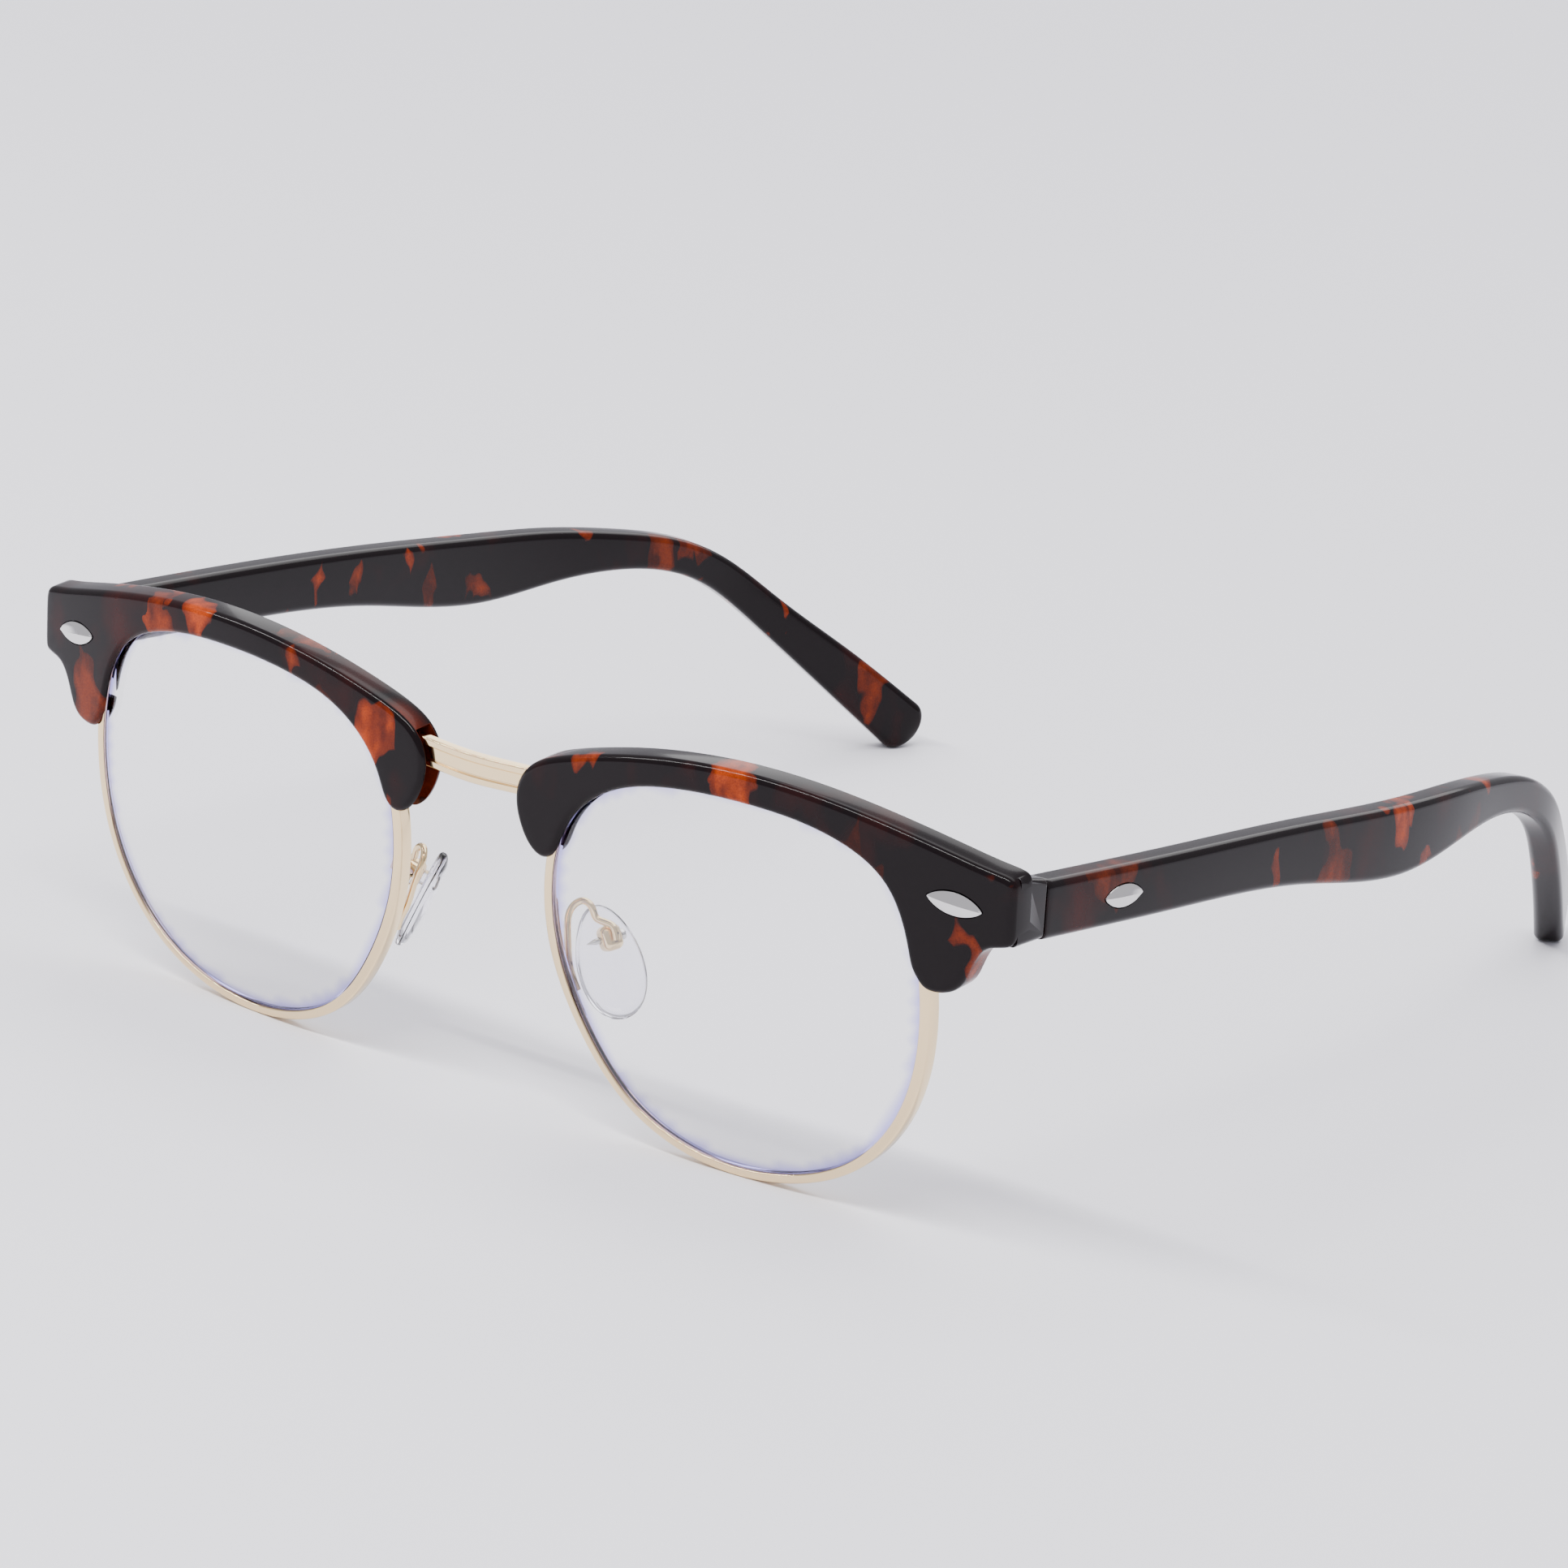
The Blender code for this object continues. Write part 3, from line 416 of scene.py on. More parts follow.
class WireSweep:
    """Geometry Nodes that run a round wire along a curve."""

    name = "wire sweep"

    def __init__(self) -> None:
        self.tree = bpy.data.node_groups.new(self.name, "GeometryNodeTree")
        face = self.tree.interface
        face.new_socket("Path", in_out="INPUT", socket_type="NodeSocketGeometry")
        self.radius = face.new_socket("Wire Radius", in_out="INPUT", socket_type="NodeSocketFloat")
        self.count = face.new_socket("Steps", in_out="INPUT", socket_type="NodeSocketInt")
        self.finish = face.new_socket("Finish", in_out="INPUT", socket_type="NodeSocketMaterial")
        face.new_socket("Wire", in_out="OUTPUT", socket_type="NodeSocketGeometry")
        tree = self.tree
        given = add_node(tree, "NodeGroupInput")
        path = add_node(tree, "GeometryNodeResampleCurve", {"Curve": given.outputs["Path"],
                                                            "Count": given.outputs["Steps"]})
        ring = add_node(tree, "GeometryNodeCurvePrimitiveCircle", {"Resolution": 20,
                                                                   "Radius": given.outputs["Wire Radius"]})
        wire = add_node(tree, "GeometryNodeCurveToMesh", {"Curve": path.outputs["Curve"],
                                                          "Profile Curve": ring.outputs["Curve"],
                                                          "Fill Caps": True})
        real = add_node(tree, "GeometryNodeRealizeInstances", {"Geometry": wire.outputs["Mesh"]})
        done = add_node(tree, "GeometryNodeSetMaterial", {"Geometry": real.outputs["Geometry"],
                                                          "Material": given.outputs["Finish"]})
        add_node(tree, "NodeGroupOutput", {"Wire": done.outputs["Geometry"]})

    def run(self, name: str, points: np.ndarray, radius: float, steps: int,
            finish: bpy.types.Material) -> bpy.types.Object:
        """Make a wire.

        Args:
            name: the object's name.
            points: the path in millimetres.
            radius: the wire's radius in millimetres.
            steps: rings along the wire.
            finish: its material.

        Returns:
            The wire as a plain mesh object.
        """
        curve = bpy.data.curves.new(name, "CURVE")
        curve.dimensions = "3D"
        line = curve.splines.new("POLY")
        line.points.add(len(points) - 1)
        for point, place in zip(line.points, points * MM):
            point.co = (*place, 1.0)
        piece = bpy.data.objects.new(name, curve)
        bpy.context.scene.collection.objects.link(piece)
        step = piece.modifiers.new(self.name, "NODES")
        step.node_group = self.tree
        step[self.radius.identifier] = radius * MM
        step[self.count.identifier] = steps
        step[self.finish.identifier] = finish
        made = freeze(piece)
        shade(made, 50.0)
        return made


class RepeatAlong:
    """Geometry Nodes that repeat a solid at equal steps along a line."""

    name = "repeat along"

    def __init__(self) -> None:
        self.tree = bpy.data.node_groups.new(self.name, "GeometryNodeTree")
        face = self.tree.interface
        face.new_socket("Solid", in_out="INPUT", socket_type="NodeSocketGeometry")
        self.count = face.new_socket("Count", in_out="INPUT", socket_type="NodeSocketInt")
        self.step = face.new_socket("Step", in_out="INPUT", socket_type="NodeSocketVector")
        self.finish = face.new_socket("Finish", in_out="INPUT", socket_type="NodeSocketMaterial")
        face.new_socket("Row", in_out="OUTPUT", socket_type="NodeSocketGeometry")
        tree = self.tree
        given = add_node(tree, "NodeGroupInput")
        line = add_node(tree, "GeometryNodeMeshLine", {"Count": given.outputs["Count"],
                                                       "Offset": given.outputs["Step"]},
                        mode="OFFSET")
        copies = add_node(tree, "GeometryNodeInstanceOnPoints", {"Points": line.outputs["Mesh"],
                                                                 "Instance": given.outputs["Solid"]})
        real = add_node(tree, "GeometryNodeRealizeInstances", {"Geometry": copies.outputs["Instances"]})
        done = add_node(tree, "GeometryNodeSetMaterial", {"Geometry": real.outputs["Geometry"],
                                                          "Material": given.outputs["Finish"]})
        add_node(tree, "NodeGroupOutput", {"Row": done.outputs["Geometry"]})

    def run(self, piece: bpy.types.Object, count: int, step: Sequence[float],
            finish: bpy.types.Material) -> bpy.types.Object:
        """Repeat a piece.

        Args:
            piece: the solid at the first place.
            count: how many in the row.
            step: from one to the next, in millimetres.
            finish: the material of the row.

        Returns:
            The piece, now the whole row as a plain mesh.
        """
        row = piece.modifiers.new(self.name, "NODES")
        row.node_group = self.tree
        row[self.count.identifier] = count
        row[self.step.identifier] = [s * MM for s in step]
        row[self.finish.identifier] = finish
        return freeze(piece)


# ------------------------------------------------------------------ finishes


@dataclass(frozen=True)
class Finish:
    """A material of the eyeglasses, made once and shared.

    Attributes:
        name: the material's name.
        slot: the material slot of the record that it answers to; not used.
    """

    name: str
    slot: str

    def material(self) -> bpy.types.Material:
        """Find or make the material."""
        found = bpy.data.materials.get(self.name)
        if found:
            return found
        made = bpy.data.materials.new(self.name)
        made.use_nodes = True
        self.shade(made.node_tree, made.node_tree.nodes["Principled BSDF"])
        return made

    def shade(self, tree: bpy.types.NodeTree, shader: bpy.types.Node) -> None:
        """Set up the shader."""
        raise NotImplementedError

    def dress(self, piece: bpy.types.Object) -> bpy.types.Object:
        """Give a piece this finish."""
        piece.data.materials.clear()
        piece.data.materials.append(self.material())
        return piece


@dataclass(frozen=True)
class TortoiseAcetate(Finish):
    """Polished cellulose acetate: near black, with angular orange-red flakes cast into it, and painted light
    in the flake colour on the slot walls near the nose.
    """

    ground: str = "#0e0709"
    wine: str = "#330a07"
    ember: str = "#5a1a06"
    flame: str = "#a83c08"
    flake: float = 7.4          # usual distance between flakes, mm
    share: float = 0.66         # part of the cells that hold a flake
    wander: float = 5.0         # how far the flakes' edges wander, mm

    def shade(self, tree: bpy.types.NodeTree, shader: bpy.types.Node) -> None:
        place = add_node(tree, "ShaderNodeTexCoord").outputs["Object"]
        scaled = add_node(tree, "ShaderNodeMapping", {"Vector": place, "Scale": (1000.0, 1000.0, 620.0),
                                                      "Location": (31.0, 7.0, 12.0)}).outputs["Vector"]
        warp = add_node(tree, "ShaderNodeTexNoise", {"Vector": scaled, "Scale": 0.16, "Detail": 2.0,
                                                     "Roughness": 0.55}).outputs["Color"]
        shift = add_node(tree, "ShaderNodeVectorMath", {0: warp, 1: (0.5, 0.5, 0.5)},
                         operation="SUBTRACT").outputs[0]
        spread = add_node(tree, "ShaderNodeVectorMath", {0: shift, "Scale": 2 * self.wander},
                          operation="SCALE").outputs[0]
        bent = add_node(tree, "ShaderNodeVectorMath", {0: scaled, 1: spread}, operation="ADD").outputs[0]
        cells = add_node(tree, "ShaderNodeTexVoronoi", {"Vector": bent, "Scale": 1 / self.flake},
                         distance="MANHATTAN")
        chosen = add_node(tree, "ShaderNodeSeparateColor", {0: cells.outputs["Color"]})
        picked = add_node(tree, "ShaderNodeMath", {0: chosen.outputs[0], 1: self.share},
                          operation="LESS_THAN").outputs[0]
        size = add_node(tree, "ShaderNodeMapRange", {0: chosen.outputs[1], 1: 0.0, 2: 1.0, 3: 0.38,
                                                     4: 0.74}).outputs[0]
        beyond = add_node(tree, "ShaderNodeMath", {0: size, 1: cells.outputs["Distance"]},
                          operation="SUBTRACT").outputs[0]
        crisp = add_node(tree, "ShaderNodeMapRange", {0: beyond, 1: 0.0, 2: 0.05}).outputs[0]
        flake = add_node(tree, "ShaderNodeMath", {0: crisp, 1: picked}, operation="MULTIPLY").outputs[0]
        deep = add_node(tree, "ShaderNodeMapRange", {0: beyond, 1: 0.0, 2: 0.28}).outputs[0]
        cloud = add_node(tree, "ShaderNodeTexNoise", {"Vector": scaled, "Scale": 0.07, "Detail": 3.0,
                                                      "Roughness": 0.6}).outputs[0]
        haze = add_node(tree, "ShaderNodeMapRange", {0: cloud, 1: 0.52, 2: 0.72}).outputs[0]
        grain = add_node(tree, "ShaderNodeTexNoise", {"Vector": place, "Scale": 5200.0, "Detail": 2.0}
                         ).outputs[0]
        speck = add_node(tree, "ShaderNodeMapRange", {0: grain, 1: 0.3, 2: 0.7, 3: 0.72, 4: 1.18}
                         ).outputs[0]
        glow = add_node(tree, "ShaderNodeTexNoise", {"Vector": scaled, "Scale": 0.35, "Detail": 2.0}
                        ).outputs[0]
        bright = add_node(tree, "ShaderNodeMapRange", {0: glow, 1: 0.35, 2: 0.6}).outputs[0]
        lit = add_node(tree, "ShaderNodeMath", {0: bright, 1: deep}, operation="MULTIPLY").outputs[0]
        base = add_node(tree, "ShaderNodeMix", {0: haze, 6: srgb(self.ground), 7: srgb(self.wine)},
                        data_type="RGBA").outputs[2]
        warm = add_node(tree, "ShaderNodeMix", {0: lit, 6: srgb(self.ember), 7: srgb(self.flame)},
                        data_type="RGBA").outputs[2]
        vivid = add_node(tree, "ShaderNodeMapRange", {0: chosen.outputs[2], 1: 0.0, 2: 1.0, 3: 0.18,
                                                      4: 1.05}).outputs[0]
        power = add_node(tree, "ShaderNodeMath", {0: speck, 1: vivid}, operation="MULTIPLY").outputs[0]
        grainy = add_node(tree, "ShaderNodeVectorMath", {0: warm, "Scale": power},
                          operation="SCALE").outputs[0]
        # painted light: the slot walls near the nose take the bright flake colour in place of light
        # brightening the acetate there
        wall = add_node(tree, "ShaderNodeAttribute", attribute_name="slot_painted_light").outputs["Fac"]
        cover = add_node(tree, "ShaderNodeMath", {0: flake, 1: wall}, operation="MAXIMUM").outputs[0]
        colour = add_node(tree, "ShaderNodeMix", {0: cover, 6: base, 7: grainy}, data_type="RGBA").outputs[2]
        tree.links.new(colour, shader.inputs["Base Color"])
        shader.inputs["Roughness"].default_value = 0.16
        shader.inputs["IOR"].default_value = 1.49
        shader.inputs["Specular IOR Level"].default_value = 0.1
        shader.inputs["Coat Weight"].default_value = 0.1
        shader.inputs["Coat Roughness"].default_value = 0.02
        shader.inputs["Coat IOR"].default_value = 1.49


@dataclass(frozen=True)
class PlatedMetal(Finish):
    """Polished plated wire or steel.

    Attributes:
        colour: sRGB colour of the plate.
        rough: roughness of the polish.
    """

    colour: str
    rough: float

    def shade(self, tree: bpy.types.NodeTree, shader: bpy.types.Node) -> None:
        place = add_node(tree, "ShaderNodeTexCoord").outputs["Object"]
        wear = add_node(tree, "ShaderNodeTexNoise", {"Vector": place, "Scale": 900.0, "Detail": 3.0}
                        ).outputs[0]
        rough = add_node(tree, "ShaderNodeMapRange", {0: wear, 1: 0.3, 2: 0.7, 3: self.rough * 0.8,
                                                      4: self.rough * 1.3}).outputs[0]
        shader.inputs["Base Color"].default_value = srgb(self.colour)
        shader.inputs["Metallic"].default_value = 1.0
        tree.links.new(rough, shader.inputs["Roughness"])


@dataclass(frozen=True)
class CoatedLens(Finish):
    """Clear lens resin with a violet anti-reflection coating, whose reflected colour is painted as a tint
    along the edge.
    """

    clear: str = "#fefeff"
    # painted reflection: the coating's violet reflection, tinting the lens near its edge
    rim: str = "#a9a0f0"

    def shade(self, tree: bpy.types.NodeTree, shader: bpy.types.Node) -> None:
        edge = add_node(tree, "ShaderNodeAttribute", attribute_name="lens_edge").outputs["Fac"]
        painted_edge_reflection = add_node(tree, "ShaderNodeMix", {0: edge, 6: srgb(self.clear), 7: srgb(self.rim)},
                        data_type="RGBA").outputs[2]
        tree.links.new(painted_edge_reflection, shader.inputs["Base Color"])
        shader.inputs["Roughness"].default_value = 0.0
        shader.inputs["IOR"].default_value = 1.5
        shader.inputs["Specular IOR Level"].default_value = 0.25
        shader.inputs["Transmission Weight"].default_value = 1.0


@dataclass(frozen=True)
class ClearSilicone(Finish):
    """Water-clear nose pad plastic."""

    colour: str = "#f8f7ff"

    def shade(self, tree: bpy.types.NodeTree, shader: bpy.types.Node) -> None:
        shader.inputs["Base Color"].default_value = srgb(self.colour)
        shader.inputs["Roughness"].default_value = 0.03
        shader.inputs["IOR"].default_value = 1.41
        shader.inputs["Transmission Weight"].default_value = 1.0


@dataclass(frozen=True)
class PaperSweep(Finish):
    """Matte white studio paper."""

    colour: str = "#f6f5fb"

    def shade(self, tree: bpy.types.NodeTree, shader: bpy.types.Node) -> None:
        shader.inputs["Base Color"].default_value = srgb(self.colour)
        shader.inputs["Roughness"].default_value = 0.9
        shader.inputs["Specular IOR Level"].default_value = 0.1


ACETATE = TortoiseAcetate("tortoise acetate", "tortoise_acetate")
GOLD = PlatedMetal("pale gold plate", "gold", "#f0d5a6", 0.09)
STEEL = PlatedMetal("polished steel", "steel", "#d6d4d2", 0.08)
LENS = CoatedLens("coated lens resin", "lens")
SILICONE = ClearSilicone("clear pad silicone", "clear_pad")
PAPER = PaperSweep("white studio paper", "")


# ------------------------------------------------------------------ the front's form


@dataclass(frozen=True)
class FrontForm:
    """Overall sizes and curve of the front, in millimetres.

    Attributes:
        shift: how far the whole stands back from the drawing's own zero in Y.
        eye_width: width over one rim.
        eye_height: height over one rim.
        eye_gap: distance between the rims.
        end_piece: from a rim's outer side to the front's side.
        lean: forward lean of the front's top, in radians.
        radius: wrap of the front.
        flat: half width of its flat middle.
    """

    shift: float
    eye_width: float = 52.0
    eye_height: float = 47.8
    eye_gap: float = 21.4
    end_piece: float = 9.9
    lean: float = math.radians(6.4)
    radius: float = 199.0
    flat: float = 21.1

    @property
    def middle(self) -> np.ndarray:
        """Centre of one eye."""
        return np.array([self.eye_gap / 2 + self.eye_width / 2, self.eye_height / 2])

    @property
    def side(self) -> float:
        """Half the front's width."""
        return self.eye_gap / 2 + self.eye_width + self.end_piece

    def sag(self, u: np.ndarray | float, v: np.ndarray | float) -> np.ndarray | float:
        """How far back the curved face lies."""
        def rise(across, up):
            wrap = np.maximum(np.abs(across) - self.flat, 0.0) ** 2
            return (wrap + (up - self.middle[1]) ** 2) / (2 * self.radius)
        return rise(u, v) - rise(self.middle[0], 0.0)

    def place(self, uv: np.ndarray, w: np.ndarray | float, side: float = 1.0) -> np.ndarray:
        """Place points of the front.

        Args:
            uv: points across and up the front.
            w: how far behind the rims' face they are.
            side: 1 for the wearer's left, -1 for the right.

        Returns:
            The points in space.
        """
        flat = np.atleast_2d(np.asarray(uv, float))
        back = self.sag(flat[:, 0], flat[:, 1]) + w
        cos, sin = math.cos(self.lean), math.sin(self.lean)
        return np.stack([side * flat[:, 0], back * cos - flat[:, 1] * sin + self.shift,
                         flat[:, 1] * cos + back * sin], axis=1)

    def unplace(self, points: np.ndarray) -> tuple[np.ndarray, np.ndarray, np.ndarray]:
        """Turn points in space back into u, v and w."""
        cos, sin = math.cos(self.lean), math.sin(self.lean)
        y, z = points[:, 1] - self.shift, points[:, 2]
        u, v = np.abs(points[:, 0]), z * cos - y * sin
        return u, v, y * cos + z * sin - self.sag(u, v)

    def spot(self, u: float, v: float, w: float, side: float = 1.0) -> np.ndarray:
        """Place one point of the front."""
        return self.place(np.array([[u, v]]), w, side)[0]

    def eye(self, shape: Sequence[tuple[float, float]]) -> np.ndarray:
        """Turn fractions of the half width and height into places on the front."""
        return np.asarray(shape, float) * np.array([self.eye_width, self.eye_height]) / 2 + self.middle

    def slab(self, name: str, loop: np.ndarray, layers: Sequence[tuple[float, float]], side: float,
             grid: float = 0.0, sharp: float = 35.0) -> bpy.types.Object:
        """Make a plate of the front from one outline.

        Args:
            name: the object's name.
            loop: the outline, counter-clockwise.
            layers: (inset, w) of each ring, from the front face to the back.
            side: which half.
            grid: spacing of the points that let the two faces follow the front's curve.
            sharp: edge angle in degrees kept crisp.

        Returns:
            The new object.
        """
        shell = Shell()
        loops = [inset(loop, tuck) for tuck, _ in layers]
        starts = [shell.add(self.place(ring, w, side)) for ring, (_, w) in zip(loops, layers)]
        shell.strip(starts, len(loop))
        for ring, start, (_, w) in ((loops[0], starts[0], layers[0]), (loops[-1], starts[-1], layers[-1])):
            if not grid:
                shell.faces.append(tuple(range(start, start + len(loop))))
                continue
            points, faces = tiled(ring, grid)
            first = shell.add(self.place(points, w, side))
            shell.faces.extend(tuple(first + i for i in face) for face in faces)
        return shell.build(name, sharp)


def tiled(loop: np.ndarray, spacing: float) -> tuple[np.ndarray, list[tuple[int, ...]]]:
    """Fill a loop with even triangles.

    Args:
        loop: the outline.
        spacing: distance between the points inside.

    Returns:
        The points, and triangles between them.
    """
    low, high = loop.min(0), loop.max(0)
    rows = []
    for j, v in enumerate(np.arange(low[1], high[1], spacing * 0.866)):
        us = np.arange(low[0] + (j % 2) * spacing / 2, high[0], spacing)
        rows.append(np.stack([us, np.full_like(us, v)], axis=1))
    spots = np.vstack(rows)
    inside = np.zeros(len(spots), bool)
    ahead = np.roll(loop, -1, axis=0)
    for (u0, v0), (u1, v1) in zip(loop, ahead):
        crosses = (v0 > spots[:, 1]) != (v1 > spots[:, 1])
        if v0 != v1:
            inside ^= crosses & (spots[:, 0] < (u1 - u0) * (spots[:, 1] - v0) / (v1 - v0) + u0)
    spots = spots[inside]
    near = np.sqrt(((spots[:, None, :] - loop[None, :, :]) ** 2).sum(2)).min(1)
    spots = spots[near > spacing * 0.55]
    verts = [Vector(p) for p in np.vstack([loop, spots])]
    points, _, faces, *_ = delaunay_2d_cdt(verts, [], [list(range(len(loop)))], 1, 1e-6)
    return np.array([tuple(p) for p in points]), [tuple(f) for f in faces]


# ------------------------------------------------------------------ screws and rivets


@dataclass(frozen=True)
class Screw:
    """A small slotted screw.

    Attributes:
        pin: radius of the shank.
        head: radius of the head.
        tall: height of the head.
    """

    pin: float = 0.45
    head: float = 0.95
    tall: float = 0.5

    def build(self, name: str, start: np.ndarray, end: np.ndarray) -> bpy.types.Object:
        """Make the screw with its head beyond end.

        Args:
            name: the object's name, also that of the CAD node it replaces.
            start: the shank's tip.
            end: where the head sits.

        Returns:
            The new object.
        """
        along = unit(end - start)
        length = float(np.linalg.norm(end - start))
        edge = self.head * 0.22
        profile = [(0.0, self.pin * 0.7), (self.pin * 0.3, self.pin), (length, self.pin),
                   (length, self.head - 0.04), (length + 0.04, self.head)]
        profile += [(length + self.tall * 0.55 + edge * math.sin(t), self.head - edge * (1 - math.cos(t)))
                    for t in np.linspace(0.0, math.pi / 2, 6)]
        profile.append((length + self.tall * 0.55 + edge, 0.02))
        screw = turned(name, start, along, profile)
        across = unit(np.cross(along, (0.31, 0.2, 0.9)))
        slot = rounded_block(f"{name} slot", end + along * (self.tall + 0.12),
                             (across, np.cross(along, across), along), (self.head * 1.3, 0.13, 0.25), 0.03, 1)
        merge(screw, [slot], Blend.CUT)
        STEEL.dress(screw)
        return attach(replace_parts(screw, name), "front")


@dataclass(frozen=True)
class Rivet:
    """A pointed oval of polished steel with a ridge along it.

    Attributes:
        length: from point to point.
        height: across the middle.
        proud: how far the ridge stands above the acetate.
        seat: how deep it sits.
        edge: how far its rim stands above the acetate.
        gap: dark line round it.
    """

    length: float = 6.7
    height: float = 2.6
    proud: float = 0.45
    seat: float = 0.5
    edge: float = 0.1
    gap: float = 0.15

    def solid(self, name: str, centre: np.ndarray, along: np.ndarray, out: np.ndarray, low: float,
              high: float, grow: float, ridge: float) -> bpy.types.Object:
        """Make the oval between two levels.

        Args:
            name: the object's name.
            centre: its middle on the acetate's surface.
            along: direction of its length.
            out: direction out of the acetate.
            low: level of its foot.
            high: level of its rim.
            grow: how much wider than the rivet.
            ridge: how far the ridge rises above the rim.

        Returns:
            The new object.
        """
        along, out = unit(along), unit(out)
        up = np.cross(out, along)
        rings = []
        for share in np.sin(np.linspace(-1.55, 1.55, 48)):
            swell = max(1 - share ** 2, 0.0) ** 0.8
            wide = (self.height / 2 + grow) * swell + 0.05
            middle = centre + along * share * (self.length / 2 + grow)
            soft = min(0.09, wide / 2)
            crest = high + ridge * swell
            half = [(wide, low), (wide, high - soft), (wide - soft * 0.3, high - soft * 0.3),
                    (wide - soft, high), (wide / 2, high + ridge * swell * 0.56), (0.05, crest - 0.015)]
            ring = [middle - up * a + out * b for a, b in half] + [middle + out * crest]
            ring += [middle + up * a + out * b for a, b in reversed(half)]
            rings.append(np.array(ring))
        return Shell().loft(rings).build(name, 12.0)

    def head(self, name: str, centre: np.ndarray, along: np.ndarray, out: np.ndarray, body: str
             ) -> bpy.types.Object:
        """Make the rivet itself, riding on a body."""
        made = self.solid(name, centre, along, out, CLEAR - self.seat, self.edge, 0.0,
                          self.proud - self.edge)
        STEEL.dress(made)
        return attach(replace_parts(made, name), body)

    def pocket(self, name: str, centre: np.ndarray, along: np.ndarray, out: np.ndarray
               ) -> bpy.types.Object:
        """Make the cutter of the rivet's seat."""
        along, out = unit(along), unit(out)
        up = np.cross(out, along)
        rings = []
        for share in np.sin(np.linspace(-1.5, 1.5, 31)):
            wide = up * ((self.height / 2 + self.gap) * (1 - share ** 2) ** 0.8 + 0.05)
            foot = centre + along * share * (self.length / 2 + self.gap) - out * self.seat
            top = foot + out * (2.0 + self.seat)
            rings.append(np.array([foot - wide, top - wide, top + wide, foot + wide]))
        return Shell().loft(rings).build(name)


# ------------------------------------------------------------------ rims, lenses and bridge


